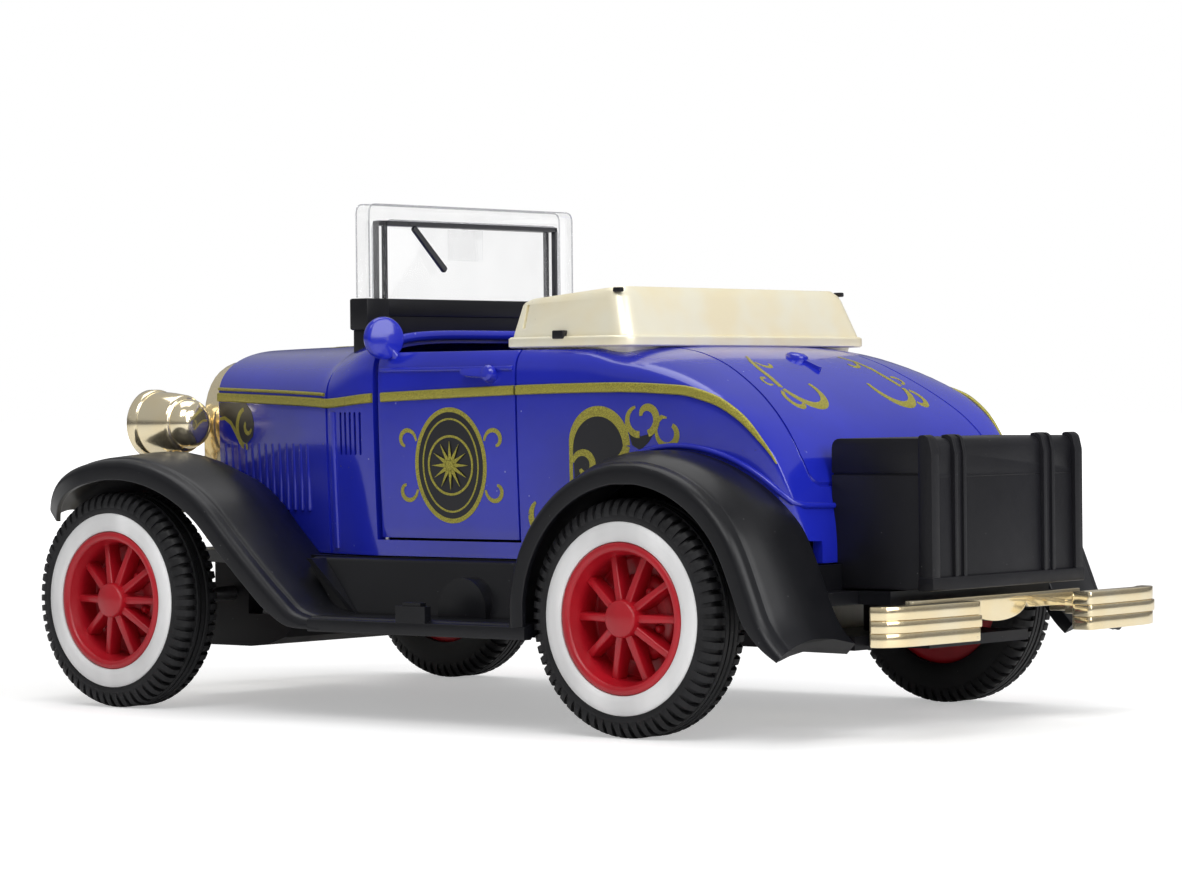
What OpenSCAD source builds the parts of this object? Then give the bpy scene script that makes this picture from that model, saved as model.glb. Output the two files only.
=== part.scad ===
// Pull back toy roadster, 1:32, an assembly of separate pieces.
// +X is the front, +Y the car's left, +Z up; the tyres stand on Z = 0.

/* [Wheels] */
// Distance from the front axle to the rear axle
wheelbase = 82; // [80:0.5:84]
// Radius of a tyre over its tread
tyre_r = 13.4; // [13.2:0.1:13.6]
// Width of a tyre
tyre_w = 6.4; // [6:0.1:6.6]
// Distance from the middle of the car to a tyre's outer face
track_out = 34.1; // [33.8:0.1:34.4]
// Outer radius of a white wall
whitewall_r = 10.8; // [10.5:0.1:11]
// Outer radius of a wheel rim
rim_r = 8.6; // [8.4:0.1:8.8]
// Spokes in a wheel
spokes = 10; // [8:1:12]
// Radius of an axle
axle_r = 0.9; // [0.8:0.05:1]

/* [Body] */
// Half width of the body at the doors
body_half = 25; // [24.6:0.1:25.2]
// Height of the body's lower edge
sill_z = 19.3; // [19.1:0.1:19.5]
// Thickness of the body's wall
wall = 1.3; // [1.1:0.1:1.4]
// How far the sides lean in at the sill
lean = 0.7; // [0.4:0.1:0.9]
// Front edge of the doors
door_front = 3.6; // [3.2:0.1:4]
// Length of the doors
door_len = 21.8; // [21:0.1:22.4]
// Height of the doors' lower edge
door_z = 21.5; // [21.2:0.1:22]
// Height of the cockpit's rim
rim_z = 43.7; // [43.4:0.1:44]
// Louvre ribs on each side of the bonnet
louvres = 12; // [8:1:14]

/* [Trim] */
// Height of the windscreen's top
screen_z = 62.1; // [60:0.5:63]
// Half width of the windscreen
screen_half = 19.4; // [19:0.1:20]
// Height of the soft top's crown
soft_top_z = 50.9; // [50:0.1:51.5]
// Radius of a headlight
lamp_r = 4.45; // [4.2:0.05:4.5]
// Distance from the middle of the car to a headlight
lamp_y = 16; // [15.6:0.1:16.4]
// Half width of the luggage trunk
trunk_half = 15.2; // [14.5:0.1:15.5]
// Distance from the wheelbase's middle to the front bumper's face
front_reach = 62; // [61:0.5:64]
// Distance from the wheelbase's middle to the rear bumper's face
rear_reach = 74; // [73.5:0.5:76]

/* [Motor] */
// Gear module
gear_m = 0.5; // [0.5]
// Teeth of the axle pinion
pinion_teeth = 12; // [12]
// Teeth of the idler gear
idler_teeth = 20; // [20]
// Teeth of the spring gear
spring_teeth = 24; // [24]
// Turns of the mainspring
spring_turns = 6; // [4:1:7]

/* [Hidden] */
$fn = 48;
e = 0.01;
push_fit = 0.01;
run_fit = 0.06;
gap = 0.3;

mid_x = (rear_reach - front_reach) / 2;
axle_x = wheelbase / 2;
axle_z = tyre_r;
tyre_in = track_out - tyre_w;

// The body's lines, as heights and half widths along the car.
body_front = 42.6;
body_rear = -57.2;
half_line = [
    [body_rear, body_half - 5.2], [-56.5, body_half - 3.6], [-55, body_half - 1.7], [-50, body_half - 0.7],
    [-44, body_half], [4, body_half], [14.5, body_half - 2.4], [body_front, body_half - 12]
];
top_line = [
    [body_rear, 21.4], [-57, 23.4], [-56.5, 26.6], [-55.2, 31], [-53.4, 33.8], [-50, 36.9], [-45, 40.3], [-41, 42.3],
    [-37, 43.5], [-33, 43.9], [-28, 45], [6, 46.3], [14.2, 46.2], [14.8, 45.2], [body_front, 44.7]
];
belt_line = [
    [body_rear, 20.6], [-57, 22.5], [-56.5, 25.4], [-55, 30.2], [-53.2, 33], [-50.4, 35.9], [-47, 37.8], [-42.7, 38.8],
    [-33, 39.2], [4, 38.3], [14.5, 37.7], [body_front, 38.6]
];
power_line = [[body_rear, 3], [-34, 4], [-28, 5], [4, 5], [12, 3], [16, 2.4], [body_front, 2.3]];
body_stations = [
    body_rear, -57, -56.5, -55.2, -53.4, -50.2, -47, -44, -41, -37, -33, -28, 4, 9, 12, 14.2, 14.8, 24, 33, body_front
];
cavity_stations = [body_rear + wall, -55.2, -53.4, -50.2, -45, -41, -37, -33, -28, 4, 12, 24, body_front - wall];
cavity_drop = 2;

function body_w(x) = lookup(x, half_line);
function body_top(x) = lookup(x, top_line);
function belt(x) = lookup(x, belt_line);
function root(v, p) = sign(v) * pow(abs(v), 2 / p);

// One slice of the body at x, a wall's thickness inside it where inset is given.
function slice(x, inset, steps) =
    let (
        from = x < 0 ? x - inset : x,
        w = body_w(from) - inset,
        low = belt(from) - inset / 2,
        high = body_top(from) - inset,
        p = lookup(x, power_line),
        base = sill_z - (inset > 0 ? cavity_drop : 0)
    )
    concat(
        [[x, w - lean, base]],
        [for (i = [0:steps]) [x, w * root(cos(180 * i / steps), p), low + (high - low) * root(sin(180 * i / steps), p)]],
        [[x, lean - w, base]]
    );

// A solid through a row of outlines that all have the same number of points.
module loft(rings) {
    n = len(rings[0]);
    last = len(rings) - 1;
    polyhedron(
        points = [for (r = rings) each r],
        faces = concat(
            [[for (i = [0:n - 1]) i]],
            [for (k = [0:last - 1], i = [0:n - 1])
                let (a = k * n + i, b = k * n + (i + 1) % n) [a, a + n, b]],
            [for (k = [0:last - 1], i = [0:n - 1])
                let (a = k * n + i, b = k * n + (i + 1) % n) [b, a + n, b + n]],
            [[for (i = [n - 1:-1:0]) last * n + i]]
        )
    );
}

function arc(x, z, r, from, to, steps) =
    [for (i = [0:steps]) let (a = from + (to - from) * i / steps) [x + r * cos(a), z + r * sin(a)]];

module in_frame() { translate([mid_x, 0, 0]) children(); }
module left_of_frame() { in_frame() children(); }
module right_of_frame() { in_frame() mirror([0, 1, 0]) children(); }
module both_sides() {
    children();
    mirror([0, 1, 0]) children();
}
// A profile drawn in X and Z, given a width along Y from y0 to y1.
module across(y0, y1) { translate([0, y1, 0]) rotate([90, 0, 0]) linear_extrude(y1 - y0) children(); }
module block(low, high) { translate(low) cube(high - low); }
// A round bar along Y from y0 to y1 at x and z.
module bar_y(x, z, r, y0, y1) { translate([x, y0, z]) rotate([-90, 0, 0]) cylinder(r = r, h = y1 - y0); }
module bar_x(y, z, r, x0, x1) { translate([x0, y, z]) rotate([0, 90, 0]) cylinder(r = r, h = x1 - x0); }

// ---- Body ----
door_rear = door_front - door_len;
door_gap_front = 1.1;
door_gap = 0.3;
hinge_x = door_front - 0.3;
hinge_y = body_half - 1.2;
pin_r = 0.35;
knuckle_r = 0.75;
hinge_lug_z = 38.5;
hinge_lug_h = 1.4;
cockpit_half = body_half - 2.1;
cockpit_front = 5.2;
cockpit_rear = -29;
arch_r = 18.3;
arch_x = -axle_x - 1;
screw_at = [[24, -8], [24, 8], [-53, 0]];
boss_r = 2.2;
screw_r = 0.95;

module body_outer() { loft([for (x = body_stations) slice(x, 0, 16)]); }
module body_cavity() { loft([for (x = cavity_stations) slice(x, wall, 10)]); }

// The raised belt moulding from the bonnet's front to the tail.
belt_half = 0.55;
belt_out = 0.35;
belt_from = -54.8;
module belt_ridge(x0, x1) {
    xs = [x0, for (x = [-53.4, -50.2, -47, -42.7, -33, 4, 14.5]) if (x > x0 + 0.5 && x < x1 - 0.5) x, x1];
    loft([for (x = xs) [
        [x, body_w(x) - 0.6, belt(x) - belt_half],
        [x, body_w(x) + belt_out, belt(x) - belt_half * 0.7],
        [x, body_w(x) + belt_out, belt(x) + belt_half * 0.7],
        [x, body_w(x) - 0.6, belt(x) + belt_half]
    ]]);
}

// Raised ribs on the bonnet's side, square to its taper.
bonnet_angle = atan2(body_w(14.5) - body_w(body_front), body_front - 14.5);
module bonnet_louvres() {
    first = 3.5;
    pitch = 1.78;
    translate([body_front, body_w(body_front) - 0.2, 0]) rotate([0, 0, -bonnet_angle])
        for (i = [0:louvres - 1])
            block([-first - i * pitch - 1, -0.9, 24.5], [-first - i * pitch, 0.15, 33]);
}

module scuttle_vents() {
    for (i = [0:4])
        block([6.6 + i * 1.05, body_half - 4, 31.4], [7.1 + i * 1.05, body_half + 2, 36.6]);
}

module door_opening(grow) {
    block(
        [door_rear - door_gap * grow, body_half - 3.2, door_z - door_gap * grow],
        [door_front + door_gap_front * grow, body_half + 3, rim_z + 5]
    );
}

// Lugs that hold a door's pin, below the door and behind its front edge.
module hinge_lugs() {
    block([hinge_x - 1.2, hinge_y - 1.2, sill_z + e], [hinge_x + 2.6, hinge_y + 0.5, door_z - door_gap]);
    translate([hinge_x, hinge_y, hinge_lug_z]) cylinder(r = knuckle_r, h = hinge_lug_h);
    block([hinge_x, hinge_y - knuckle_r, hinge_lug_z], [hinge_x + 2.6, hinge_y - 0.1, hinge_lug_z + hinge_lug_h]);
}
module hinge_bore(r) { translate([hinge_x, hinge_y, sill_z - 1]) cylinder(r = r, h = 40); }

module body_shell() {
    color("mediumblue") in_frame() difference() {
        union() {
            difference() {
                union() {
                    body_outer();
                    both_sides() belt_ridge(belt_from, body_front);
                    both_sides() bonnet_louvres();
                }
                body_cavity();
                block([cockpit_rear, -cockpit_half, sill_z - 1], [cockpit_front, cockpit_half, 60]);
                block([-33, -30, rim_z], [cockpit_front - 1.6, 30, 60]);
                both_sides() door_opening(1);
                both_sides() bar_y(arch_x, axle_z, arch_r, body_half - 7, body_half + 3);
                both_sides() scuttle_vents();
            }
            both_sides() hinge_lugs();
            for (s = screw_at)
                translate([s.x, s.y, sill_z + 0.2])
                    cylinder(r = boss_r, h = body_top(s.x - (s.x < 0 ? boss_r : 0)) - sill_z - wall);
            translate([-40.5, 0, body_top(-40.5) - 0.5]) cylinder(r = 1.5, h = 1.3);
        }
        both_sides() hinge_bore(pin_r + push_fit);
        for (s = screw_at)
            translate([s.x, s.y, sill_z - 1]) cylinder(r = screw_r + push_fit, h = 9);
    }
}

mirror_r = 2.9;
module door() {
    difference() {
        union() {
            intersection() {
                difference() {
                    union() {
                        body_outer();
                        belt_ridge(door_rear + door_gap, door_front - 0.5);
                    }
                    body_cavity();
                }
                difference() {
                    door_opening(0);
                    block([door_rear - 1, 0, rim_z], [door_front + 2, 40, rim_z + 20]);
                }
            }
            // Inner frame along the foot and the rear edge
            block([door_rear + 0.6, body_half - 2.9, door_z], [door_front - 2.4, body_half - 1.4, door_z + 1.2]);
            block([door_rear, body_half - 2.9, door_z], [door_rear + 1.2, body_half - 1.2, rim_z - 4]);
            translate([hinge_x, hinge_y, door_z]) cylinder(r = knuckle_r, h = hinge_lug_z - door_z - 0.2);
            // Lever handle
            bar_y(door_rear + 3.6, 41, 0.7, body_half - 1.2, body_half + 0.6);
            translate([door_rear + 3.6, body_half + 0.4, 41]) rotate([0, 80, 0]) cylinder(r = 0.4, h = 3);
            // Mirror on its stalk
            translate([1.6, body_half - 1.2, rim_z - 1]) rotate([-18, 20, 0]) cylinder(r = 0.7, h = 3);
            translate([2.6, body_half + 0.2, rim_z + 1.9]) rotate([0, -90, -24])
                cylinder(r = mirror_r, h = 1.1);
        }
        translate([hinge_x, hinge_y, hinge_lug_z - 0.2]) cylinder(r = knuckle_r + 0.2, h = hinge_lug_h + 0.4);
        block([hinge_x, 0, hinge_lug_z - 0.2], [hinge_x + 3, hinge_y, hinge_lug_z + hinge_lug_h + 0.2]);
        hinge_bore(pin_r + run_fit);
    }
}
module door_left() { color("blue") left_of_frame() door(); }
module door_right() { color("blue") right_of_frame() door(); }

module door_pin() {
    translate([hinge_x, hinge_y, sill_z + 0.4]) cylinder(r = pin_r, h = hinge_lug_z + hinge_lug_h - sill_z - 0.4);
}
module door_pin_left() { color("silver") left_of_frame() door_pin(); }
module door_pin_right() { color("silver") right_of_frame() door_pin(); }

// ---- Cockpit ----
tub_half = 20.6;
seat_front = -15.5;
seat_z = 30.5;
module interior_tub() {
    color([0.1, 0.1, 0.1]) in_frame() difference() {
        union() {
            block([seat_front, -tub_half, sill_z + 0.3], [4.6, tub_half, sill_z + 1.5]);
            both_sides() block([-28.6, tub_half - 1.2, sill_z + 0.3], [4.6, tub_half, 34]);
            block([seat_front - 1.2, -tub_half, sill_z + 0.3], [seat_front, tub_half, seat_z - 1]);
            // Cushion with a rolled front edge
            block([-26, -tub_half, seat_z - 2], [seat_front + 0.4, tub_half, seat_z]);
            bar_y(seat_front + 0.2, seat_z - 1.4, 1.4, -tub_half, tub_half);
            translate([-25.6, 0, seat_z - 1]) rotate([0, -10, 0])
                block([-1.8, -tub_half + 1.6, 0], [0.6, tub_half - 1.6, 13.6]);
        }
        // Room over the motor
        block([-40, -motor_half - 0.4, 0], [motor_front + 0.4, motor_half + 0.4, motor_high + 0.4]);
        // Flutes in the seat's back
        for (i = [-4:4])
            translate([-25, i * 3.9, seat_z + 1.4]) rotate([0, -10, 0]) cylinder(r = 0.45, h = 20);
    }
}

module dashboard() {
    color([0.12, 0.12, 0.12]) in_frame() difference() {
        union() {
            block([5.4, -tub_half, 33], [6.6, tub_half, 43.2]);
            bar_y(5.6, 42.4, 0.8, -tub_half + 1, tub_half - 1);
            for (y = [-2.6, 0, 2.6]) bar_x(y, 39, 1.1, 4.9, 5.5);
        }
        translate([5, column_y, column_z]) rotate([0, 90 - column_tilt, 0])
            cylinder(r = column_r + push_fit, h = 12, center = true);
    }
}

column_y = 10;
column_z = 35.8;
column_tilt = -28;
column_r = 0.7;
steer_r = 5;
module steering_wheel() {
    color([0.08, 0.08, 0.08]) in_frame() translate([5, column_y, column_z]) rotate([0, 90 - column_tilt, 0]) {
        translate([0, 0, -5.6]) {
            rotate_extrude() translate([steer_r, 0]) circle(r = 0.5);
            for (a = [0:120:240]) rotate([0, 0, a]) translate([-0.35, 0, -0.3]) cube([0.7, steer_r, 0.6]);
            translate([0, 0, -0.6]) cylinder(r = 1.2, h = 1.2);
            cylinder(r = column_r, h = 7.8);
        }
    }
}

// ---- Windscreen ----
screen_x = 11.1;
screen_t = 2.2;
screen_foot_z = 50.5;
module windscreen() {
    color([0.85, 0.9, 0.95, 0.4]) in_frame() difference() {
        block(
            [screen_x - screen_t / 2, -screen_half, screen_foot_z],
            [screen_x + screen_t / 2, screen_half, screen_z]
        );
        for (side = [-1, 1])
            translate([screen_x + side * 1.9, 0, 0])
                block([-1.5, -screen_half + 3, screen_foot_z - 1], [1.5, screen_half - 3, screen_z - 2]);
    }
}
module windscreen_frame() {
    color([0.1, 0.1, 0.1]) in_frame() {
        block(
            [screen_x - screen_t / 2, -screen_half, 46.5],
            [screen_x + screen_t / 2, screen_half, screen_foot_z - push_fit]
        );
        both_sides() block(
            [screen_x - screen_t / 2 - 0.3, screen_half - 1.2, 44.95],
            [screen_x + screen_t / 2 + 0.3, screen_half + 0.5, screen_foot_z - push_fit]
        );
    }
}

// ---- Soft top cover ----
module soft_top_plan(front, rear, half, r) {
    translate([rear + r, -half + r]) square([front - rear - r, 2 * (half - r)]);
    translate([rear, -half + r]) square([front - rear, 2 * (half - r)]);
    for (s = [-1, 1]) translate([rear + r, s * (half - r)]) circle(r = r);
    translate([rear + r, -half]) square([front - rear - r, 2 * half]);
}
soft_top_front = -16.6;
soft_top_rear = -33.4;
soft_top_foot = 44.05;
module soft_top() {
    color("khaki") in_frame() difference() {
        union() {
            hull() {
                translate([0, 0, soft_top_foot + 1])
                    linear_extrude(0.2) soft_top_plan(soft_top_front - 0.3, soft_top_rear, 23.2, 3);
                translate([0, 0, soft_top_z - 2])
                    linear_extrude(0.1) soft_top_plan(soft_top_front - 2, soft_top_rear + 1.8, 21.9, 3);
                translate([0, 0, soft_top_z - 0.2])
                    linear_extrude(0.2) soft_top_plan(soft_top_front - 14, soft_top_rear + 2.6, 20.6, 2);
            }
            translate([0, 0, soft_top_foot])
                linear_extrude(1.2) soft_top_plan(soft_top_front, soft_top_rear - 0.5, 23.7, 3);
        }
        hull() {
            translate([0, 0, soft_top_foot - 1]) linear_extrude(0.2) soft_top_plan(0, -27.4, 18, 2);
            translate([0, 0, soft_top_z + 1]) linear_extrude(0.2) soft_top_plan(0, -29, 18.6, 2);
        }
    }
}

// ---- Front trim ----
radiator_x = body_front + 0.15;
module radiator_outline(inset) {
    r = 5 - inset;
    translate([-11.8 + inset, 20 + inset]) square([2 * (11.8 - inset), 18.4 - 2 * inset]);
    for (s = [-1, 1]) translate([s * (6.8), 38.4 - inset]) circle(r = r);
    translate([-6.8, 33.4]) square([13.6, 10 - inset * 2]);
}
module radiator_shell() {
    color("gold") in_frame() difference() {
        translate([radiator_x, 0, 0]) rotate([90, 0, 90]) linear_extrude(4) radiator_outline(0);
        translate([radiator_x + 1.2, 0, 0]) rotate([90, 0, 90]) linear_extrude(4) radiator_outline(1.4);
    }
}
module radiator_core() {
    color([0.15, 0.15, 0.15]) in_frame() difference() {
        translate([radiator_x + 1.25, 0, 0]) rotate([90, 0, 90]) linear_extrude(1.6) radiator_outline(1.45);
        for (i = [-6:6])
            block([radiator_x + 2.4, i * 1.4 - 0.3, 22], [radiator_x + 4, i * 1.4 + 0.3, 41.4]);
    }
}

lamp_z = 35.2;
lamp_front = 52;
lamp_back = 45.4;
lens_r = lamp_r - 0.7;
lamp_axis = [lamp_front, lamp_y, lamp_z];
module lamp() {
    translate([lamp_front, lamp_y, lamp_z]) rotate([0, -90, 0]) rotate_extrude() polygon([
        [0, 1.2], [lens_r + push_fit, 1.2], [lens_r + push_fit, 0], [lamp_r, 0], [lamp_r, 1.6],
        [lamp_r - 0.2, 3], [lamp_r - 0.8, lamp_front - lamp_back], [2.3, lamp_front - lamp_back],
        [2.3, 8.2], [1.4, 9], [0, 9.2]
    ]);
}
module headlight_left() { color("gold") left_of_frame() lamp(); }
module headlight_right() { color("gold") right_of_frame() lamp(); }
module lamp_lens() {
    translate([lamp_front, lamp_y, lamp_z]) rotate([0, -90, 0]) rotate_extrude() polygon([
        [0, -0.5], [1.6, -0.35], [3, 0], [lens_r, 0.4], [lens_r, 1.15], [0, 1.15]
    ]);
}
module headlight_lens_left() { color("white") left_of_frame() lamp_lens(); }
module headlight_lens_right() { color("white") right_of_frame() lamp_lens(); }
module headlight_bar() {
    color("gold") in_frame() {
        bar_y(48.6, 29.4, 0.6, -lamp_y, lamp_y);
        both_sides() translate([48.6, lamp_y, 28.6]) cylinder(r = 0.9, h = lamp_z - lamp_r - 0.05 - 28.6);
        both_sides() block([radiator_x + 4.05, 6, 28.9], [48.4, 8, 29.9]);
    }
}

bumper_z = 11;
module front_bumper() {
    color("gold") in_frame() {
        for (z = [-1.6, 0, 1.6])
            translate([front_reach - 120, 0, bumper_z + z - 0.7]) linear_extrude(1.4)
                bumper_arc(120, 13.2, z == 0 ? 1.2 : 1.4);
        translate([front_reach - 120, 0, bumper_z - 2.2]) linear_extrude(4.4) bumper_arc(119.2, 13.4, 0.8);
        both_sides() block([base_front + 0.02, 9, bumper_z - 0.8], [front_reach - 1.6, 11, bumper_z + 0.8]);
    }
}
// A band of the given thickness under radius r, reaching +-angle about the X axis.
module bumper_arc(r, angle, t) {
    polygon(concat(arc(0, 0, r, -angle, angle, 12), arc(0, 0, r - t, angle, -angle, 12)));
}

// ---- Fenders, running boards and splash aprons: one moulding ----
fender_out = 34.6;
fender_t = 1.1;
board_z = 12.4;
board_front = 9.3;
board_rear = -26.6;
// The crown of the front fender from its tip back to the running board, as [x, z, direction of its normal].
front_crown_x = axle_x - 1;
front_crown_z = 5;
front_crown_r = 26.5;
front_crown = concat(
    [for (a = [50:6:132]) [front_crown_x + front_crown_r * cos(a), front_crown_z + front_crown_r * sin(a), a]],
    [[16, 19, 132], [11.6, 15.1, 131], [board_front - 1, board_z + 0.4, 120], [board_front - 4, board_z, 95]]
);
// The crown of the rear fender, from the running board over the wheel to the tail.
rear_crown_r = 18;
rear_crown = concat(
    [for (a = [-6:9:156]) [arch_x + rear_crown_r * cos(a), axle_z + rear_crown_r * sin(a), a]],
    [[-60.15, 16.6, 158], [-61.5, 13.8, 152], [-63, 11.7, 143], [-64.7, 10.3, 134]]
);
function front_in(x) = body_w(min(x, body_front)) + 0.05 + max(0, x - body_front) * 0.75;
function front_out(x) = fender_out - pow(max(0, x - 47) / 10, 2) * 4.2;
function rear_in(x) = lookup(x, [[-66, 22], [-58, 22], [-54, 23.2], [-50, 24.2], [-44, 24.6], [-20, 24.6]]);

// One ring of a fender: crown, outer lip and the underside.
function fender_ring(p, y_in, y_out, lip, in_lip) =
    let (
        mid = (y_in + y_out) / 2,
        ring = [
            [y_in, -0.6 - in_lip], [y_in, -0.3], [mid - 2, 0], [mid + 2, 0], [y_out - 1.2, -0.4],
            [y_out - 0.3, -0.9], [y_out, -1.5], [y_out, -1.5 - lip], [y_out - 0.9, -1.5 - lip],
            [y_out - 0.9, -1.9], [mid, -fender_t], [y_in + 1, -fender_t - 0.2], [y_in + 1, -0.6 - in_lip]
        ]
    )
    [for (q = ring) [p.x + q[1] * cos(p[2]), q[0], p.y + q[1] * sin(p[2])]];

module front_fender() {
    loft([for (p = front_crown) fender_ring(p, front_in(p.x), front_out(p.x), p.x < 10 ? 0.5 : 1.6, 0.8)]);
}
module rear_fender() {
    loft([for (p = rear_crown) fender_ring(p, rear_in(p.x), fender_out, 1.4, p.x < -58 ? 1.2 : 0.8)]);
}
module running_board() {
    block([board_rear, 24.6, board_z - 2.1], [board_front - 3, fender_out - 0.5, board_z]);
    block([board_rear, fender_out - 1.1, board_z - 2.3], [board_front - 3, fender_out, board_z - 0.2]);
    block([-12.2, fender_out - 1.4, board_z - 1], [-7.6, fender_out - 0.2, board_z + 1.6]);
}
module splash_apron() {
    block([board_rear + 0.2, 24.1, board_z - 1], [board_front + 5, 26.4, sill_z - 0.3]);
    bar_y(-12.4, board_z + 1.25, 3.2, 25, 27.3);
}
floor_top = sill_z - 0.15;
floor_low = floor_top - 1.6;
tail_x = -56.6;
tail_z = 16.2;
module fender_moulding() {
    color([0.2, 0.2, 0.22]) in_frame() difference() {
        union() {
            both_sides() front_fender();
            both_sides() rear_fender();
            both_sides() running_board();
            both_sides() splash_apron();
            // Floor between the two sides, narrower at the front
            translate([0, 0, floor_low]) linear_extrude(floor_top - floor_low) polygon([
                [board_front + 5, -24.2], [body_front + 1, -16], [body_front + 5, -14], [body_front + 5, 14],
                [body_front + 1, 16], [board_front + 5, 24.2], [board_rear + 1, 24.2], [board_rear + 1, 20],
                [tail_x, 20], [tail_x, -20], [board_rear + 1, -20], [board_rear + 1, -24.2]
            ]);
            // Tail pan a step lower, for the trunk to stand on
            block([tail_x - 8.4, -15, tail_z - 1.5], [tail_x, 15, tail_z]);
            block([tail_x - 3.6, -22.7, tail_z - 1.5], [tail_x, 22.7, tail_z]);
            block([tail_x - 1.2, -20, tail_z - 1.5], [tail_x, 20, floor_top]);
        }
        // Room for the motor and the axles
        block([motor_rear - 0.3, -motor_half - 0.3, floor_low - 1], [motor_front + 0.3, motor_half + 0.3, floor_top + 1]);
        for (s = screw_at) translate([s.x, s.y, floor_low - 1]) cylinder(r = screw_r + 0.15, h = 4);
    }
}

// ---- Base plate ----
base_z = 9.2;
base_t = 1.6;
base_front = 48;
base_rear = -57.6;
base_half = 12.6;
module base_plate() {
    color([0.15, 0.15, 0.16]) in_frame() difference() {
        union() {
            block([base_rear, -base_half, base_z], [base_front, base_half, base_z + base_t]);
            // Belly under the front axle
            across(-base_half + 0.4, base_half - 0.4) polygon([
                [30.5, base_z + 0.1], [32, 7.9], [35, 6.9], [38, 6.6], [46, 6.6], [base_front, 7.4], [base_front, base_z + 0.1]
            ]);
            // Posts that carry the front axle
            both_sides() block([axle_x - 3, base_half - 2.6, base_z], [axle_x + 3, base_half, floor_low - 0.1]);
            for (s = screw_at)
                translate([s.x, s.y, base_z]) cylinder(r = 2.6, h = floor_low - 0.1 - base_z);
            // Brackets for the two bumpers
            block([base_front - 2.2, -12, base_z], [base_front, 12, 13]);
            block([-66, -10, base_z + 0.4], [base_rear + 1, 10, base_z + base_t]);
        }
        bar_y(axle_x, axle_z, axle_r + run_fit, -20, 20);
        for (s = screw_at) translate([s.x, s.y, base_z - 1]) {
            cylinder(r = screw_r + 0.15, h = 20);
            cylinder(r = 2, h = 2.4);
        }
        block([motor_rear - 0.3, -motor_half - 0.3, base_z - 1], [motor_front + 0.3, motor_half + 0.3, 30]);
    }
}
module body_screws() {
    color("silver") in_frame() for (s = screw_at) translate([s.x, s.y, base_z + 0.1]) difference() {
        union() {
            cylinder(r = 1.8, h = 1.3);
            cylinder(r = screw_r, h = 17);
        }
        for (a = [0, 90]) rotate([0, 0, a]) block([-1.2, -0.25, -1], [1.2, 0.25, 0.6]);
    }
}

// ---- Luggage trunk and rear bumper ----
trunk_rear = -70;
trunk_foot = 16.4;
trunk_top = 33.2;
module luggage_trunk() {
    color([0.16, 0.16, 0.17]) in_frame() difference() {
        union() {
            across(-trunk_half, trunk_half) polygon([
                [trunk_rear - 0.1, trunk_foot], [trunk_rear - 0.1, trunk_foot + 1.6], [trunk_rear + 0.2, trunk_foot + 1.8],
                [trunk_rear + 0.6, trunk_top - 1], [trunk_rear + 1.6, trunk_top], [-54.8, trunk_top],
                [-56.1, 30.8], [-57.3, 26.4], [-58, 23.4], [-58, trunk_foot]
            ]);
            // Edge rims and the two strap ribs on the rear face
            for (y = [-trunk_half, -9.4, 6.6, trunk_half - 1.4])
                across(y, y + (abs(y) > 12 ? 1.4 : 2.8)) polygon([
                    [trunk_rear - 0.4, trunk_foot], [trunk_rear + 0.3, trunk_top - 0.9], [trunk_rear + 2, trunk_top - 0.9],
                    [trunk_rear + 2, trunk_foot]
                ]);
        }
        // The lid's parting line
        block([trunk_rear - 3, -trunk_half + 1.5, trunk_top - 3.4], [trunk_rear + 0.4, trunk_half - 1.5, trunk_top - 3.2]);
    }
}

rear_bar_y0 = 11;
rear_bar_y1 = 28;
module rear_bar_plan(inset) {
    polygon([
        [-rear_reach + 2.6, rear_bar_y0 + inset], [-rear_reach + 0.5 + inset, rear_bar_y0 + inset],
        [-rear_reach + inset, rear_bar_y0 + 1 + inset], [-rear_reach + 0.9 + inset, rear_bar_y1 - 1 - inset],
        [-rear_reach + 1.6 + inset, rear_bar_y1 - inset], [-rear_reach + 3.6, rear_bar_y1 - inset]
    ]);
}
module rear_bumper() {
    ribs = [-1.5, 0, 1.5];
    color("gold") in_frame() {
        both_sides() for (z = ribs) translate([0, 0, 13 + z - 0.65]) linear_extrude(1.3) rear_bar_plan(0);
        both_sides() translate([0, 0, 10.95]) linear_extrude(4.1) rear_bar_plan(0.5);
        block([-rear_reach + 1.6, -rear_bar_y0 - 1, 12.6], [-rear_reach + 3, rear_bar_y0 + 1, 14.4]);
        // Half round plate under the bar's middle
        intersection() {
            translate([-rear_reach + 1.6, 0, 14.4]) rotate([0, 90, 0]) cylinder(r = 5, h = 1);
            block([-rear_reach, -6, 8], [-rear_reach + 4, 6, 14.4]);
        }
        both_sides() block([-rear_reach + 2.9, 5, 12.8], [-64.8, 7, 14.4]);
        both_sides() block([-66, 5, base_z + base_t + 0.05], [-64.8, 7, 14.4]);
    }
}

// ---- Wheels and axles ----
hub_r = 2.1;
drum_r = 4.9;
rim_in = rim_r - 1.2;
whitewall_t = 0.6;
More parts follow.
